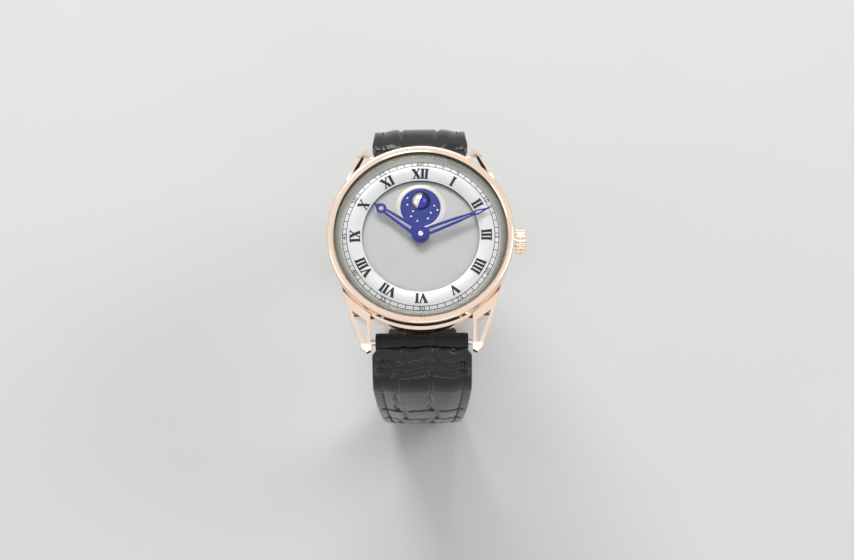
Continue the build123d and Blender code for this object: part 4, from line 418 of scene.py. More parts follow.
class WATCH_OT_finishes(bpy.types.Operator):
    """Give every CAD piece its real finish"""

    bl_idname = "watch.finishes"
    bl_label = "Finish the CAD pieces"

    def execute(self, context):
        colours = context.scene.watch_colours
        dress(polished_metal("rose_gold_polished", colours.gold, 0.10),
              "bezel", "case_band", "lugs_upper", "lugs_lower", "crown")
        dress(polished_metal("rose_gold_buckle", colours.gold, 0.14), "buckle_frame", "buckle_tongue")
        dress(turned_metal("rose_gold_turned", colours.gold), "case_back_ring")
        dress(grained_flange("satin_flange", colours.flange), "inner_flange")
        dress(clear_glass("sapphire_clear"), "crystal", "case_back_glass")
        dress(silvered_dial("silvered_middle", colours.dial), "dial_plate")
        # The chapter ring carries painted shade, near black, on the inner wall of its step.
        dress(silvered_dial("silvered_chapter", colours.chapter, CHAPTER_SHADE_EDGE * MM), "chapter_ring")
        dress(blued_steel("blued_steel_hands", colours.blued), "hour_hand", "minute_hand")
        dress(polished_metal("cap_silver", colours.moon_light, 0.20), "hand_cap")
        dress(night_sky("night_sky_lacquer", colours.sky), "moon_sky_disc")
        dress(moon_metal("moon_light_silver", colours.moon_light, 0.16, 0.85), "moon_light_half")
        dress(moon_metal("moon_dark_blue", colours.moon_dark, 0.10, 0.95), "moon_dark_half")
        for wheel in ("moon_drive_wheel", "moon_star_wheel", "moon_bevel_wheel", "hour_wheel", "minute_wheel",
                      "barrel_drum", "centre_wheel", "third_wheel", "fourth_wheel", "balance_wheel"):
            dress(turned_metal(f"gilt_{wheel}", colours.brass, centre_of(wheel)), wheel)
        for wheel in ("ratchet_wheel", "crown_wheel", "escape_wheel"):
            dress(turned_metal(f"steel_{wheel}", colours.steel, centre_of(wheel), 0.24, 400, 60), wheel)
        dress(polished_metal("steel_polished", colours.steel, 0.14),
              "spring_bars", "case_back_screws", "moon_arbor", "cannon_pinion", "movement_screws",
              "barrel_arbor", "click", "pallet_fork", "crown_tube", "winding_stem", "winding_pinion",
              "sliding_pinion", "setting_lever", "buckle_bar")
        dress(pearled_nickel("nickel_pearled", colours.nickel), "main_plate")
        dress(striped_nickel("nickel_striped", colours.nickel),
              "barrel_bridge", "train_bridge", "balance_cock", "pallet_cock")
        dress(ruby_glass("ruby_jewels", colours.ruby), "jewels")
        dress(blued_steel("blued_springs", colours.blued), "mainspring", "hairspring")
        dress(plain_leather("leather_cad", colours.leather),
              "strap_upper", "strap_lower", "fixed_keeper", "free_keeper")
        dress(plain_leather("lining_cad", colours.lining), "strap_upper_lining", "strap_lower_lining")
        return {"FINISHED"}


# Meshes: a shell is its points, in millimetres, and its faces


def linked(name, data):
    """New object in the scene."""
    obj = bpy.data.objects.new(name, data)
    bpy.context.scene.collection.objects.link(obj)
    return obj


def piece(name, shell, body, finish, smooth=True, second=None, second_faces=()):
    """New mesh piece that rides on a body."""
    points, faces = shell
    mesh = bpy.data.meshes.new(name)
    mesh.from_pydata([Vector(point) * MM for point in points], [], faces)
    mesh.materials.append(finish.material)
    if second:
        mesh.materials.append(second.material)
        for index in second_faces:
            mesh.polygons[index].material_index = 1
    made = bmesh.new()
    made.from_mesh(mesh)
    bmesh.ops.recalc_face_normals(made, faces=made.faces[:])
    made.to_mesh(mesh)
    made.free()
    for polygon in mesh.polygons:
        polygon.use_smooth = smooth
    obj = linked(name, mesh)
    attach(obj, body)
    return obj


def joined(shells):
    """Several closed shells as one."""
    points, faces = [], []
    for more_points, more_faces in shells:
        start = len(points)
        points += more_points
        faces += [tuple(index + start for index in face) for face in more_faces]
    return points, faces


def ring_faces(size, rings, first=0, loop=False, closed=True, caps=False):
    """Faces between rings of points that follow one another, in a loop or with flat caps."""
    faces = []
    for ring in range(rings if loop else rings - 1):
        here, there = first + ring * size, first + (ring + 1) % rings * size
        for index in range(size if closed else size - 1):
            after = (index + 1) % size
            faces.append((here + index, there + index, there + after, here + after))
    if caps:
        last = first + (rings - 1) * size
        faces += [tuple(range(first, first + size)), tuple(reversed(range(last, last + size)))]
    return faces


def revolved(profile, centre, count, closed=True):
    """Ring of a profile of radius and height round an upright axis."""
    points = []
    for step in range(count):
        turn = 2 * pi * step / count
        points += [(centre[0] + radius * cos(turn), centre[1] + radius * sin(turn), z)
                   for radius, z in profile]
    return points, ring_faces(len(profile), count, loop=True, closed=closed)


def domed_pin(centre, radius, foot, top, count=20, rings=5):
    """Small round pin with a domed top."""
    levels = [(radius, foot)]
    for ring in range(rings):
        rise = 0.5 * pi * ring / rings
        levels.append((radius * cos(rise), foot + 0.4 * (top - foot) + 0.6 * (top - foot) * sin(rise)))
    points = [(*centre, foot)]
    for level_radius, z in levels:
        points += [(centre[0] + level_radius * cos(turn), centre[1] + level_radius * sin(turn), z)
                   for turn in (2 * pi * step / count for step in range(count))]
    points.append((*centre, top))
    faces = ring_faces(count, len(levels), first=1)
    tip = len(points) - 1
    for step in range(count):
        after = (step + 1) % count
        faces += [(0, 1 + after, 1 + step), (tip - count + step, tip - count + after, tip)]
    return points, faces


# Printing on the dial


PRINTED_NODE = "chapter_ring"
PRINT_SINK = 0.03
# Radius inside which the chapter ring is painted near black as shade on the wall of its step.
CHAPTER_SHADE_EDGE = 13.78
LINE_GAP = 0.005
HOURS = ("XII", "I", "II", "III", "IIII", "V", "VI", "VII", "VIII", "IX", "X", "XI")
UPRIGHT_HOURS = range(4, 9)
NUMERAL_SPREAD = 1.35
NUMERAL_SIZE = 1.4
NUMERAL_STRIP = 0.5
LETTER_STRIP = 0.36


def print_base(x, y):
    """Height of the top of the printed node above a place in plan."""
    start, down = Vector((x * MM, y * MM, 0.1)), Vector((0, 0, -1))
    hit, place = bpy.data.objects[PRINTED_NODE].ray_cast(start, down)[:2]
    if not hit:
        raise RuntimeError(f"{PRINTED_NODE} has no surface at {x:.2f}, {y:.2f}")
    return place.z / MM


def printed(flat_points, faces):
    """Closed thin shell over flat faces, laid on the dial."""
    lift = bpy.context.scene.watch_dial.print_height / MM
    places = [(x, y, print_base(x, y)) for x, y in flat_points]
    count = len(places)
    edges = dict.fromkeys(edge for face in faces for edge in zip(face, face[1:] + face[:1]))
    shell = faces + [tuple(index + count for index in reversed(face)) for face in faces]
    shell += [(a, a + count, b + count, b) for a, b in edges if (b, a) not in edges]
    return [(x, y, z + lift) for x, y, z in places] + [(x, y, z - PRINT_SINK) for x, y, z in places], shell


def sliced(made, step):
    """Points and clockwise faces of a flat mesh, cut into strips so that it can follow a curved dial."""
    made.normal_update()
    bmesh.ops.triangulate(made, faces=made.faces[:])
    heights = [vert.co.y for vert in made.verts]
    level = min(heights) + step
    while level < max(heights) - 0.05:
        everything = made.verts[:] + made.edges[:] + made.faces[:]
        bmesh.ops.bisect_plane(made, geom=everything, plane_co=(0, level, 0), plane_no=(0, 1, 0))
        level += step
    bmesh.ops.remove_doubles(made, verts=made.verts[:], dist=0.002)
    made.verts.index_update()
    points = [(vert.co.x, vert.co.y) for vert in made.verts]
    faces = []
    for face in made.faces:
        corners = tuple(vert.index for vert in face.verts)
        area = sum(points[a][0] * points[b][1] - points[b][0] * points[a][1]
                   for a, b in zip(corners, corners[1:] + corners[:1]))
        faces.append(corners[::-1] if area > 0 else corners)
    made.free()
    return points, faces


def bend_round(points, foot_radius, middle_radius, turn):
    """Flat letter points bent round the dial, feet inward, at an angle clockwise from twelve."""
    places = [(foot_radius + y, turn + x / middle_radius) for x, y in points]
    return [(radius * sin(bearing), radius * cos(bearing)) for radius, bearing in places]


def letter_outlines(top):
    """Outline and width of each letter of the Roman hours, with thick and thin strokes and flat serifs."""
    low, high = 0.17, top - 0.17
    stem, foot, bracket = 0.31, 0.455, 0.30
    letter_i = [
        (-foot, 0), (foot, 0), (foot, low), (stem, bracket), (stem, top - bracket), (foot, high), (foot, top),
        (-foot, top), (-foot, high), (-stem, top - bracket), (-stem, bracket), (-foot, low),
    ]
    letter_v = [
        (-0.10, 0), (0.20, 0), (0.86, high), (1.0, high), (1.0, top), (0.38, top), (0.38, high), (0.56, high),
        (0.21, 1.10), (-0.22, high), (-0.08, high), (-0.08, top), (-1.0, top), (-1.0, high), (-0.92, high),
    ]
    thick_left, thick_right = (-0.96, 1.18), (-0.22, 1.18)
    thin_left, thin_right = (0.50, -1.32), (0.82, -1.32)

    def crossing(left, right):
        share = (right[0] - left[0]) / (left[1] - right[1])
        return left[0] + left[1] * share, high + (low - high) * share

    letter_x = [
        (-1.04, 0), (-0.28, 0), (-0.28, low), (sum(thin_right), low), crossing(thick_left, thin_right),
        (sum(thick_left), low), (0.06, low), (0.06, 0), (1.04, 0), (1.04, low), (sum(thick_right), low),
        crossing(thick_right, thin_right), (thin_right[0], high), (1.02, high), (1.02, top), (0.30, top),
        (0.30, high), (thin_left[0], high), crossing(thick_right, thin_left), (thick_right[0], high),
        (-0.08, high), (-0.08, top), (-1.04, top), (-1.04, high), (thick_left[0], high),
        crossing(thick_left, thin_left), (sum(thin_left), low), (-1.04, low),
    ]
    return {"I": (letter_i, 0.92), "V": (letter_v, 2.0), "X": (letter_x, 2.1)}


class WATCH_OT_hours(bpy.types.Operator):
    """Print the Roman hours on the chapter ring"""

    bl_idname = "watch.hours"
    bl_label = "Roman hours"

    def execute(self, context):
        dial = context.scene.watch_dial
        foot, height = dial.numeral_inner / MM, dial.numeral_height / MM
        letters = {}
        for letter, (outline, width) in letter_outlines(height).items():
            made = bmesh.new()
            made.faces.new([made.verts.new((x, y, 0)) for x, y in outline])
            letters[letter] = (*sliced(made, LETTER_STRIP), width)
        shells = []
        for hour, word in enumerate(HOURS):
            place = -0.5 * sum(letters[letter][2] for letter in word)
            for letter in word:
                points, faces, width = letters[letter]
                shifted = [(x + place + 0.5 * width, y) for x, y in points]
                place += width
                bent = bend_round(shifted, foot, foot + 0.5 * height, radians(30 * hour))
                shells.append(printed(bent, faces))
        ink = printed_ink("dial_ink", context.scene.watch_colours.ink)
        piece("roman_hours", joined(shells), "watch_head", ink, smooth=False)
        return {"FINISHED"}


def tick_band(inner, outer, start, end, parts=3):
    """Flat faces of a minute tick, angles clockwise from twelve in degrees."""
    radii = [inner + (outer - inner) * part / parts for part in range(parts + 1)]
    points = [(radius * sin(turn), radius * cos(turn))
              for turn in (radians(start), radians(end)) for radius in radii]
    return points, ring_faces(parts + 1, 2, closed=False)


def minute_numeral(word, height):
    """Flat faces of a small numeral in the built-in type."""
    text = bpy.data.curves.new("minute_text", "FONT")
    text.body = word
    text.size = height * NUMERAL_SIZE
    text.align_x = "CENTER"
    text.resolution_u = 3
    holder = linked("minute_text", text)
    bpy.context.view_layer.update()
    mesh = bpy.data.meshes.new_from_object(holder)
    made = bmesh.new()
    made.from_mesh(mesh)
    bmesh.ops.remove_doubles(made, verts=made.verts[:], dist=0.001)
    bpy.data.objects.remove(holder)
    bpy.data.curves.remove(text)
    bpy.data.meshes.remove(mesh)
    return sliced(made, NUMERAL_STRIP)


class WATCH_OT_minutes(bpy.types.Operator):
    """Print the railway minute track and its small numerals"""

    bl_idname = "watch.minutes"
    bl_label = "Minute track"

    def execute(self, context):
        dial = context.scene.watch_dial
        inner, outer, line = dial.track_inner / MM, dial.track_outer / MM, dial.track_line / MM
        shells = []
        for low in (inner, outer - line):
            points, faces = revolved([(low, 0), (low + line, 0)], (0, 0), 360, closed=False)
            shells.append(printed([point[:2] for point in points], faces))
        half = 0.5 * line / inner * 180 / pi
        height = dial.minute_height / MM
        foot = 0.5 * (inner + outer - height)
        for hour in range(12):
            for minute in range(1, 5):
                turn = 30 * hour + 6 * minute
                tick = tick_band(inner + line + LINE_GAP, outer - line - LINE_GAP, turn - half, turn + half)
                shells.append(printed(*tick))
            points, faces = minute_numeral(str(5 * hour or 60), height)
            if hour in UPRIGHT_HOURS:
                points = [(-x, height - y) for x, y in points]
            wide = [(x * NUMERAL_SPREAD, y) for x, y in points]
            shells.append(printed(bend_round(wide, foot, foot, radians(30 * hour)), faces))
        ink = printed_ink("track_ink", context.scene.watch_colours.ink)
        piece("minute_track", joined(shells), "watch_head", ink, smooth=False)
        return {"FINISHED"}


# Section of the ring from the edge of the sky disc, and the places of the stars in plan
WINDOW_RING = (
    (0.03, -0.4), (0.03, 0.02), (0.15, 0.10), (0.33, 0.11), (1.15, -0.16), (1.27, -0.24), (1.27, -0.4),
)
STAR_PLACES = (
    (-3.05, 9.6), (-3.05, 7.9), (-1.75, 6.3), (-2.2, 5.0), (-0.78, 3.8), (1.72, 4.4), (2.45, 5.8),
    (3.22, 7.6), (4.0, 6.5),
)
STAR_SINK = 0.05
STAR_RISE = 0.16


class WATCH_OT_moon_window(bpy.types.Operator):
    """Set the bright ring and the star pins of the moon window"""

    bl_idname = "watch.moon_window"
    bl_label = "Moon window"

    def execute(self, context):
        colours = context.scene.watch_colours
        low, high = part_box("moon_sky_disc")
        top, disc_radius = high.z / MM, 0.5 * (high.x - low.x) / MM
        centre = [value / MM for value in centre_of("moon_sky_disc")[:2]]
        ring = revolved([(disc_radius + out, top + rise) for out, rise in WINDOW_RING], centre, 128)
        silver = silvered_dial("silvered_window_ring", colours.halo)
        piece("moon_window_ring", ring, "watch_head", silver)
        radius = context.scene.watch_dial.star_radius / MM
        stars = joined(domed_pin(place, radius, top - STAR_SINK, top + STAR_RISE) for place in STAR_PLACES)
        pins = polished_metal("star_pin_silver", colours.moon_light, 0.25)
        piece("star_pins", stars, "watch_head", pins)
        return {"FINISHED"}


# Strap: distances run along it from its spring bar, headings are in degrees


SPRING_BAR = (23.0, -0.5)
START_HEADING = -3
BEND_HEADING = -85
LOWER_HEADING = -112
UPPER_TURN = 40
BEND_RADIUS = 9.0
FOOT_BEND_RADIUS = 12.0
FREE_END_Y = 9.0

LEATHER_START = 1.5
BUCKLE_CUT = 2.95
PADDING_LENGTH = 42.0
PADDING_RISE = 3.2
CHANNEL_DEPTH = 0.16
CHANNEL_WIDTH = 0.45
ROOT_HALF_WIDTH = 11.72
SHOULDER = 0.85
SHOULDER_START = 1.9
SHOULDER_LENGTH = 1.2
WAIST = 0.7
WAIST_START = 8.0
WAIST_END = 12.0
WAIST_FADE = 32.0
TAPER = 2.75
TAPER_TOP_Z = -8.0
TAPER_DROP = 50.0
TIP_LENGTH = 7.0
TIP_HALF_WIDTH = 3.0
TIP_ROUNDING = 0.9
ROW_STEP = 0.36
COLUMNS = 64
EDGE_ROUNDING = (0.0, 0.04, 0.13, 0.27, 0.45)
EDGE_BAND = 0.5
EDGE_STEP = 0.12
RELIEF_FADE = 1.2

ROOT_ROLL = 2.1
ROOT_BORE = 0.8
ROOT_ROLL_END = 10.9
ROOT_ROLL_FOLDS = (-4.5, 3.0)
END_ROLL = 1.6
END_BORE = 0.66
TONGUE_GAP = 1.45
ROLL_EDGE = 0.35
ROLL_FOLD_DEPTH = 0.30
ROLL_FOLD_WIDTH = 0.42
# Distance from the end of the leather and half of the thickness
EAR_LEVELS = ((3.1, 1.28), (1.9, 1.28), (1.15, 1.05))
EAR_EDGE = 0.3

# Bare length at the end of each half, and depth of the stitches on the top and on the lining
SEAM_START = 4.5
SEAM_END = {1: 4.0, -1: 8.5}
STITCH_SINK = {1: 0.05, -1: 0.22}
STITCH_RADIUS = 0.22
STITCH_FLATNESS = 0.8
STITCH_SIDES = 8
STITCH_SHARE = 0.74
# Share of the stitch's length, height above its line and share of its radius
STITCH_LEVELS = ((-0.06, -0.30, 0.55), (0.05, -0.02, 0.9), (0.25, 0.12, 1.0), (0.5, 0.15, 1.0),
                 (0.75, 0.12, 1.0), (0.95, -0.02, 0.9), (1.06, -0.30, 0.55))

HOLE_COUNT = 7
HOLE_SIDES = 28
HOLE_DEPTH = 8
HOLE_RADIUS = 0.9
HOLE_PITCH = 6.5
LAST_HOLE = 24.0


def station(runs, distance):
    """Place in side view and heading along a strap at a distance from the spring bar."""
    y, z = SPRING_BAR
    heading = radians(START_HEADING)
    for run_length, turn in runs:
        run = min(distance, run_length)
        if turn:
            radius = run_length / radians(turn)
            after = heading - run / radius
            y += radius * (sin(heading) - sin(after))
            z += radius * (cos(after) - cos(heading))
            heading = after
        else:
            y += run * cos(heading)
            z += run * sin(heading)
        distance -= run
    return y, z, heading


def strap_runs():
    """Runs of a length and a turn of the buckle half and of the free half."""
    strap = bpy.context.scene.watch_strap
    turn = START_HEADING - BEND_HEADING
    first = (BEND_RADIUS * radians(turn), turn)
    upper = (first, (strap.upper_length / MM - first[0], UPPER_TURN))
    bend_z = station((first,), first[0])[1]
    foot_z = FLOOR_Z + 0.5 * strap.end_thickness / MM
    foot_drop = FOOT_BEND_RADIUS * (1 + cos(radians(LOWER_HEADING)))
    side_turn = BEND_HEADING - LOWER_HEADING
    side = (bend_z - foot_z - foot_drop) / (cos(radians(BEND_HEADING)) - cos(radians(LOWER_HEADING)))
    foot_turn = 180 + LOWER_HEADING
    curved = (first, (side * radians(side_turn), side_turn),
              (FOOT_BEND_RADIUS * radians(foot_turn), foot_turn))
    curved_length = sum(run for run, turn in curved)
    return upper, (*curved, (station(curved, curved_length)[0] + FREE_END_Y, 0))


def smooth_step(value):
    """Soft step from 0 to 1."""
    value = min(max(value, 0), 1)
    return value * value * (3 - 2 * value)


def bell(value, width):
    """Bell curve that is 1 at 0."""
    return np.exp(-((value / width) ** 2))


class StrapHalf:
    """Measures of one strap half, side 1 at twelve and -1 at six: its path, width and thickness."""

    def __init__(self, side, runs):
        strap = bpy.context.scene.watch_strap
        self.side = side
        self.runs = runs
        self.length = sum(run for run, turn in runs)
        self.root = strap.root_thickness / MM
        self.end = strap.end_thickness / MM
        self.edge = strap.edge_thickness / MM
        self.inset = strap.stitch_inset / MM

    def thickness(self, distance):
        """Full thickness at a distance from the bar."""
        return self.root + min(distance / PADDING_LENGTH, 1) * (self.end - self.root)

    def half_width(self, distance):
        """Half of the width at a distance from the bar."""
        z = station(self.runs, distance)[1]
        half = ROOT_HALF_WIDTH - TAPER * min(max((TAPER_TOP_Z - z) / TAPER_DROP, 0), 1)
        half -= SHOULDER * (1 - smooth_step((distance - SHOULDER_START) / SHOULDER_LENGTH))
        left = self.length - distance
        if self.side > 0:
            fading = 1 - smooth_step((distance - WAIST_END) / WAIST_FADE)
            half -= WAIST * (smooth_step(distance / WAIST_START) * fading)
        elif left < TIP_LENGTH:
            half = TIP_HALF_WIDTH + (half - TIP_HALF_WIDTH) * left / TIP_LENGTH
            half -= TIP_ROUNDING * max(1 - left / TIP_ROUNDING, 0) ** 2
        return half

    def place(self, distance, x, height):
        """Point at a height above the middle of the leather."""
        y, z, heading = station(self.runs, distance)
        return (x, self.side * (y - height * sin(heading)), z + height * cos(heading))

    def top(self, distance, x, half):
        """Height of the smooth padded top above the middle of the leather."""
        full = 0.5 * self.thickness(distance)
        edge = min(max(self.edge, 1.7 * full) - full, full - EDGE_STEP)
        from_seam = half - abs(x) - self.inset
        padding = (full - edge) * smooth_step(from_seam / PADDING_RISE)
        return edge + padding - CHANNEL_DEPTH * bell(from_seam, CHANNEL_WIDTH)


def scale_rows(half_strap):
    """Borders of the rows of scales along a strap half, the borders across each row, and their slant."""
    upper = half_strap.side > 0
    rng = np.random.default_rng(11 if upper else 7)
    borders = [-9.0, 14.5, 27.0] if upper else [-9.0, 1.2, 4.8, 6.6, 28.0]
    while borders[-1] < half_strap.length + 4:
        borders.append(borders[-1] + max(11.5 - 0.8 * (len(borders) - 5), 6.5) + rng.uniform(-0.6, 0.6))
    if upper:
        columns = [(-3.35, 4.1), (-3.9, 3.3)]
    else:
        columns = [(-4.5, 3.0), (-4.5, 3.0), (-8.4, -5.4, 2.4, 8.2), (-6.2, 1.85)]
    while len(columns) < len(borders):
        shift = -3.6 if len(columns) % 2 else 0.4
        columns.append(np.array((-4.0, 3.6)) + 0.35 * shift + rng.uniform(-0.5, 0.5, 2))
    return np.array(borders), columns, 0.13 if upper else 0.0


def fine_grain(points, pitch, seed):
    """Soft random grain between -1 and 1 at flat points."""
    size = 97
    table = np.random.default_rng(seed).uniform(-1, 1, (size, size))
    places = points / pitch + 40.0
    whole = np.floor(places).astype(int)
    part = places - whole
    part = part * part * (3 - 2 * part)
    a, b, c, d = (table[(whole[:, 0] + x) % size, (whole[:, 1] + y) % size]
                  for x, y in ((0, 0), (1, 0), (0, 1), (1, 1)))
    low = a + (b - a) * part[:, 0]
    return low + (c + (d - c) * part[:, 0] - low) * part[:, 1]


def scale_relief(points, rows):
    """Height share of the scales, 0 in a fold and 1 on a scale, at flat points."""
    borders, columns, slant = rows
    along = points[:, 1] + 0.45 * np.sin(points[:, 0] * 0.55 + 0.7) + 0.12 * np.sin(points[:, 0] * 2.3)
    across = points[:, 0] + 0.22 * np.sin(points[:, 1] * 0.8 + 2.1)
    across += slant * np.minimum(points[:, 1], 14.5) * (points[:, 0] < 0)
    row = np.clip(np.searchsorted(borders, along) - 1, 0, len(borders) - 2)
    row_border = np.minimum(along - borders[row], borders[row + 1] - along)
    column_border = np.full(len(points), 20.0)
    for index, places in enumerate(columns):
        mine = row == index
        if mine.any():
            column_border[mine] = np.abs(np.subtract.outer(across[mine], places)).min(1)
    row_border = np.maximum(row_border, 0.01)
    column_border = np.maximum(column_border, 0.01)
    border = (row_border ** -3.0 + column_border ** -3.0) ** (-1 / 3)
    body = 0.85 - bell(border, 0.50) + 0.22 * (1 - bell(border, 2.4))
    lip = 0.22 * bell(border - 0.85, 0.30)
    near_row = bell(row_border, 1.3)
    creases = fine_grain(points, 0.55, 3) * 0.20 + fine_grain(points, 0.32, 5) * 0.12
    return body + lip + creases * (0.15 + near_row) - 0.10 * near_row


def strap_mesh(half_strap, start, end):
    """Leather body of a strap half: its shell, the faces of its lining and the folds of its points."""
    depth = bpy.context.scene.watch_strap.scale_depth / MM
    rows = scale_rows(half_strap)
    rounding = EDGE_ROUNDING[-1]
    count = int((end - start) / ROW_STEP)
    points, folds = [], []
    for row in range(count + 1):
        distance = start + (end - start) * row / count
        half = half_strap.half_width(distance)
        full = 0.5 * half_strap.thickness(distance)
        inside = half - EDGE_BAND
        across = [*(-half + r for r in EDGE_ROUNDING), *np.linspace(-inside, inside, COLUMNS)[1:-1],
                  *(half - r for r in reversed(EDGE_ROUNDING))]
        for x, share in zip(across, scale_relief(np.array([(x, distance) for x in across]), rows)):
            from_edge = half - abs(x)
            height = half_strap.top(distance, x, half)
            if from_edge < rounding:
                height -= rounding * (1 - (1 - (1 - from_edge / rounding) ** 2) ** 0.5)
            worked = smooth_step((from_edge - EDGE_BAND) / RELIEF_FADE)
            points.append(half_strap.place(distance, x, height - depth * (1 - share) * worked))
            folds.append(min(max(1 - (1 - share) * worked, 0.0), 1.0))
        right = ((half, 0.35), (half - 0.1, 0.12), (half - 0.35, 0.0), (0.6 * half, 0.0), (0.2 * half, 0.0))
        for x, rise in (*right, *((-x, rise) for x, rise in reversed(right))):
            points.append(half_strap.place(distance, x, rise - full))
            folds.append(1.0)
    ring = len(points) // (count + 1)
    lining = [row * ring + index for row in range(count) for index in range(len(across), ring - 1)]
    return (points, ring_faces(ring, count + 1, caps=True)), lining, folds


def tube_roll(side, bar, radius, bore, start, end, folds=()):
    """Rolled leather end round a bar, as a rounded tube along x, thinner at its folds."""
    profile = [(bore, start), (bore, end), (radius - 0.3, end), (radius - 0.08, end - 0.1),
               (radius, end - ROLL_EDGE)]
    steps = max(int((end - start) / ROLL_EDGE), 4)
    for step in range(1, steps):
        x = end - ROLL_EDGE + (start - end + 2 * ROLL_EDGE) * step / steps
        sunk = ROLL_FOLD_DEPTH * sum(bell(x - place, ROLL_FOLD_WIDTH) for place in folds)
        profile.append((radius - sunk, x))
    profile += [(radius, start + ROLL_EDGE), (radius - 0.08, start + 0.1), (radius - 0.3, start)]
    points, faces = revolved(profile, (0, 0), 48)
    return [(x, side * bar[0] + a, bar[1] + b) for a, b, x in points], faces


def stitch(first, last, rise):
    """One sunk stitch between two points, bowed along an upward direction."""
    rise = rise.normalized()
    across = (last - first).normalized().cross(rise).normalized()
    points = []
    for share, lift, swell in STITCH_LEVELS:
        middle = first.lerp(last, share) + rise * lift
        for step in range(STITCH_SIDES):
            turn = 2 * pi * step / STITCH_SIDES
            out = across * cos(turn) + rise * sin(turn) * STITCH_FLATNESS
            points.append(tuple(middle + out * STITCH_RADIUS * swell))
    return points, ring_faces(STITCH_SIDES, len(STITCH_LEVELS), caps=True)


def sewing(half_strap, start, end):
    """Rows of stitches along both edges, on the top and on the lining."""
    pitch = bpy.context.scene.watch_strap.stitch_pitch / MM
    shells = []
    distance = start
    while distance + pitch < end:
        places = (distance, distance + STITCH_SHARE * pitch)
        middle = 0.5 * sum(places)
        up = Vector(half_strap.place(middle, 0, 1)) - Vector(half_strap.place(middle, 0, 0))
        for edge in (-1, 1):
            for face, sunk in STITCH_SINK.items():
                ends = []
                for place in places:
                    half = half_strap.half_width(place)
                    x = edge * (half - half_strap.inset)
                    under = -0.5 * half_strap.thickness(place)
                    height = half_strap.top(place, x, half) if face > 0 else under
                    ends.append(Vector(half_strap.place(place, x, height - sunk * face)))
                shells.append(stitch(*ends, up * face))
        distance += pitch
    return joined(shells)


class WATCH_OT_strap(bpy.types.Operator):
    """Build both strap halves as padded, sewn leather"""

    bl_idname = "watch.strap"
    bl_label = "Strap"

    def execute(self, context):
        colours = context.scene.watch_colours
        leather = scaled_leather("alligator_leather", colours.leather)
        lining = plain_leather("lining_leather_calf", colours.lining)
        thread = waxed_thread("waxed_thread", colours.thread)
        plain = plain_leather("rolled_leather", colours.leather, 0.45)
        for name, side, runs in zip(("upper", "lower"), (1, -1), strap_runs()):
            half_strap = StrapHalf(side, runs)
            body = f"strap_{name}_group"
            end = half_strap.length - (BUCKLE_CUT if side > 0 else 0)
            shell, lining_faces, folds = strap_mesh(half_strap, LEATHER_START, end)
            made = piece(f"strap_{name}_leather", shell, body, leather,
                         second=lining, second_faces=lining_faces)
            made.data.attributes.new("fold", "FLOAT", "POINT").data.foreach_set("value", folds)
            if side < 0:
                cut_holes(made, half_strap)
            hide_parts(f"strap_{name}", f"strap_{name}_lining")
            roll = tube_roll(side, SPRING_BAR, ROOT_ROLL, ROOT_BORE, -ROOT_ROLL_END, ROOT_ROLL_END,
                             ROOT_ROLL_FOLDS)
            piece(f"strap_{name}_root_roll", roll, body, plain)
            seams = sewing(half_strap, SEAM_START, end - SEAM_END[side])
            piece(f"strap_{name}_stitches", seams, body, thread)
            if side > 0:
                piece("strap_end_rolls", self.buckle_end(half_strap), body, plain)
        return {"FINISHED"}

    def buckle_end(self, half_strap):
        """Two rolled ears round the buckle bar, either side of the tongue."""
        bar = station(half_strap.runs, half_strap.length)[:2]
        half = half_strap.half_width(half_strap.length)
        shells = []
        for start, end in ((-half, -TONGUE_GAP), (TONGUE_GAP, half)):
            shells.append(tube_roll(half_strap.side, bar, END_ROLL, END_BORE, start, end))
            shells.append(self.ear(half_strap, start, end))
        return joined(shells)

    def ear(self, half_strap, start, end):
        """Flat ear that carries the leather from the strap to its roll."""
        points = []
        for back, height in EAR_LEVELS:
            below = ((start, EAR_EDGE - height), (start + EAR_EDGE, -height),
                     (end - EAR_EDGE, -height), (end, EAR_EDGE - height))
            for x, rise in (*below, *((x, -rise) for x, rise in reversed(below))):
                points.append(half_strap.place(half_strap.length - back, x, rise))
        return points, ring_faces(2 * len(below), len(EAR_LEVELS), caps=True)


def cut_holes(obj, half_strap):
    """Row of round holes through the free half."""
    cutter = bmesh.new()
    for index in range(HOLE_COUNT):
        y, z, heading = station(half_strap.runs, half_strap.length - LAST_HOLE - index * HOLE_PITCH)
        normal = Vector((0, -half_strap.side * sin(heading), cos(heading)))
        turn = normal.to_track_quat("Z", "Y").to_matrix().to_4x4()
        place = Matrix.Translation(Vector((0, half_strap.side * y, z)) * MM) @ turn
        bmesh.ops.create_cone(cutter, cap_ends=True, segments=HOLE_SIDES, radius1=HOLE_RADIUS * MM,
                              radius2=HOLE_RADIUS * MM, depth=HOLE_DEPTH * MM, matrix=place)
    mesh = bpy.data.meshes.new("hole_cutter")
    cutter.to_mesh(mesh)
    cutter.free()
    holder = linked("hole_cutter", mesh)
    modifier = obj.modifiers.new("holes", "BOOLEAN")
    modifier.operation = "DIFFERENCE"
    modifier.solver = "EXACT"
    modifier.object = holder
    bpy.context.view_layer.update()
    cut = bpy.data.meshes.new_from_object(obj.evaluated_get(bpy.context.evaluated_depsgraph_get()))
    obj.modifiers.remove(modifier)
    obj.data = cut
    bpy.data.objects.remove(holder)
    bpy.data.meshes.remove(mesh)


# Keepers: their distance from the end of the strap and their body
KEEPERS = (("fixed_keeper", 10.0, "strap_upper_group"), ("free_keeper", 26.0, "free_keeper_group"))
ROOM_ABOVE = 0.6
ROOM_BELOW = 0.5
BAND_HALF = 0.55
BAND_CORNER = 1.2
BAND_STEPS = 7
# Along the strap and outwards, round the middle of the band's leather
BAND_SECTION = ((-2.45, -0.42), (-2.3, -0.53), (2.3, -0.53), (2.45, -0.42), (2.45, 0.28), (2.2, 0.46),
                (1.2, 0.53), (0.0, 0.55), (-1.2, 0.53), (-2.2, 0.46), (-2.45, 0.28))


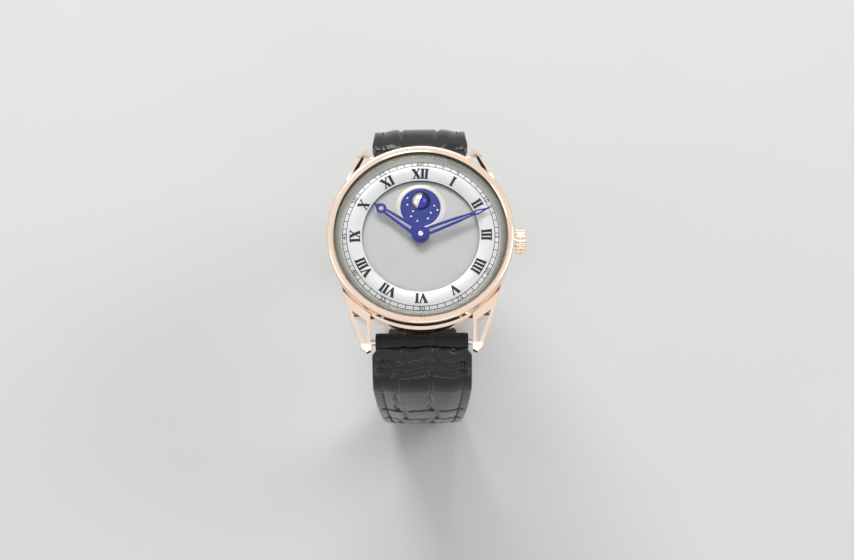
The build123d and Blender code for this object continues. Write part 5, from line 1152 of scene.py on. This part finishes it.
class WATCH_OT_keepers(bpy.types.Operator):
    """Build the fixed and the free keeper as bands of leather"""

    bl_idname = "watch.keepers"
    bl_label = "Keepers"

    def execute(self, context):
        leather = plain_leather("keeper_leather", context.scene.watch_colours.leather, 0.4)
        half_strap = StrapHalf(1, strap_runs()[0])
        for name, back, body in KEEPERS:
            low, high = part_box(name)
            half = 0.5 * (high.x - low.x) / MM - BAND_HALF
            shell = self.band(half_strap, half_strap.length - back, half)
            made = piece(f"{name}_band", shell, body, leather)
            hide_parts(name)
        return {"FINISHED"}

    def band(self, half_strap, distance, half):
        """Closed band round the strap with a crowned section."""
        y, z, heading = station(half_strap.runs, distance)
        along = Vector((0, cos(heading), sin(heading)))
        up = Vector((0, -sin(heading), cos(heading)))
        middle = Vector((0, y, z))
        side = half - BAND_CORNER
        above = 1.5 * half_strap.end + ROOM_ABOVE + BAND_HALF - BAND_CORNER
        below = -(0.5 * half_strap.end + ROOM_BELOW + BAND_HALF) + BAND_CORNER
        points = []
        for quarter, (cx, cy) in enumerate(((side, above), (-side, above), (-side, below), (side, below))):
            for step in range(BAND_STEPS + 1):
                turn = radians(90 * quarter + 90 * step / BAND_STEPS)
                out_x, out_up = cos(turn), sin(turn)
                x, height = cx + BAND_CORNER * out_x, cy + BAND_CORNER * out_up
                for run, out in BAND_SECTION:
                    place = middle + along * run + up * (height + out_up * out)
                    points.append(tuple(place + Vector((x + out_x * out, 0, 0))))
        return points, ring_faces(len(BAND_SECTION), 4 * (BAND_STEPS + 1), loop=True)


# Stage: places, targets and sizes of lamps are in metres, their power in watts


LAMPS = (
    ("key_lamp", (-0.12, 0.58, 0.56), (0.50, 0.26), 3.1),
    ("right_lamp", (0.55, 0.12, 0.58), (0.34, 0.34), 1.2),
    ("front_lamp", (0.15, -0.75, 0.22), (0.60, 0.20), 0.5),
    ("side_lamp", (-0.62, -0.05, 0.30), (0.34, 0.54), 0.5),
)
LAMP_TARGET = Vector((0, 0, -0.02))
CAMERA_TARGET = Vector((0.00136, -0.01115, 0.010))


class WATCH_OT_stage(bpy.types.Operator):
    """Set up the floor, soft lamps, world and camera"""

    bl_idname = "watch.stage"
    bl_label = "Stage"

    def execute(self, context):
        stage = context.scene.watch_stage
        self.floor(0.5 * stage.floor_size, context.scene.watch_colours.floor)
        for lamp in LAMPS:
            self.lamp(*lamp)
        context.scene.world = self.world()
        context.scene.camera = self.camera(stage)
        context.scene.view_settings.view_transform = "Standard"
        return {"FINISHED"}

    def floor(self, half, tone):
        """Plain pale floor under the strap."""
        mesh = bpy.data.meshes.new("floor")
        z = FLOOR_Z * MM
        corners = [(-half, -half, z), (half, -half, z), (half, half, z), (-half, half, z)]
        mesh.from_pydata(corners, [], [(0, 1, 2, 3)])
        paper = Finish("floor_paper", tone, roughness=0.7)
        paper.work(paper.noise(40), vary=0.01)
        paper.work(paper.noise(900, detail=3), relief=(0.05, 0.1))
        mesh.materials.append(paper.material)
        linked("floor", mesh)

    def lamp(self, name, place, size, power):
        """Soft rectangular lamp that faces the watch."""
        light = bpy.data.lights.new(name, "AREA")
        light.shape = "RECTANGLE"
        light.size, light.size_y = size
        light.energy = power
        holder = linked(name, light)
        holder.location = place
        holder.rotation_euler = (LAMP_TARGET - Vector(place)).to_track_quat("-Z", "Y").to_euler()

    def world(self):
        """Even surroundings, white where the camera and reflections see them."""
        world = bpy.data.worlds.new("studio")
        world.use_nodes = True
        tree = world.node_tree
        soft = tree.nodes["Background"]
        soft.inputs[0].default_value = WHITE
        soft.inputs[1].default_value = 0.38
        white = add_node(tree, "ShaderNodeBackground", {0: WHITE, 1: 1.0})
        path = add_node(tree, "ShaderNodeLightPath").outputs
        seen = path["Is Camera Ray"]
        for ray in ("Is Glossy Ray", "Is Transmission Ray"):
            seen = add_node(tree, "ShaderNodeMath", {0: seen, 1: path[ray]}, operation="MAXIMUM").outputs[0]
        mixed = add_node(tree, "ShaderNodeMixShader", {0: seen, 1: soft.outputs[0], 2: white.outputs[0]})
        tree.links.new(mixed.outputs[0], tree.nodes["World Output"].inputs[0])
        return world

    def camera(self, stage):
        """Camera at the photograph's angle: from the six o'clock side, high above the dial."""
        data = bpy.data.cameras.new("camera")
        data.lens = stage.camera_lens
        data.sensor_width = 36
        data.clip_start = 0.01
        back = Vector((0, -cos(stage.camera_height), sin(stage.camera_height)))
        right = Vector((1, 0, 0))
        up = back.cross(right)
        turn = stage.camera_roll
        right, up = right * cos(turn) + up * sin(turn), up * cos(turn) - right * sin(turn)
        place = CAMERA_TARGET + back * stage.camera_distance
        camera = linked("camera", data)
        camera.matrix_world = Matrix((*zip(right, up, back, place), (0, 0, 0, 1)))
        return camera


class WATCH_PT_panel(bpy.types.Panel):
    """Steps that build the watch"""

    bl_idname = "WATCH_PT_panel"
    bl_label = "Moon Phase Watch"
    bl_space_type = "VIEW_3D"
    bl_region_type = "UI"
    bl_category = "Watch"

    def draw(self, context):
        for step in STEPS:
            self.layout.operator(step.bl_idname)


GROUPS = {
    "watch_dial": WatchDialSizes,
    "watch_strap": WatchStrapSizes,
    "watch_colours": WatchColours,
    "watch_stage": WatchStage,
}
STEPS = (
    WATCH_OT_stage,
    WATCH_OT_finishes,
    WATCH_OT_hours,
    WATCH_OT_minutes,
    WATCH_OT_moon_window,
    WATCH_OT_strap,
    WATCH_OT_keepers,
)


def register():
    """Registers the settings, steps and panel."""
    for group in GROUPS.values():
        bpy.utils.register_class(group)
    for name, group in GROUPS.items():
        setattr(bpy.types.Scene, name, bpy.props.PointerProperty(type=group))
    for step in STEPS:
        bpy.utils.register_class(step)
    bpy.utils.register_class(WATCH_PT_panel)


def unregister():
    """Removes what register added."""
    bpy.utils.unregister_class(WATCH_PT_panel)
    for step in reversed(STEPS):
        bpy.utils.unregister_class(step)
    for name, group in GROUPS.items():
        delattr(bpy.types.Scene, name)
        bpy.utils.unregister_class(group)


def main():
    """Builds the whole scene in order."""
    register()
    for step in STEPS:
        group, name = step.bl_idname.split(".")
        getattr(getattr(bpy.ops, group), name)()


if __name__ == "__main__":
    main()
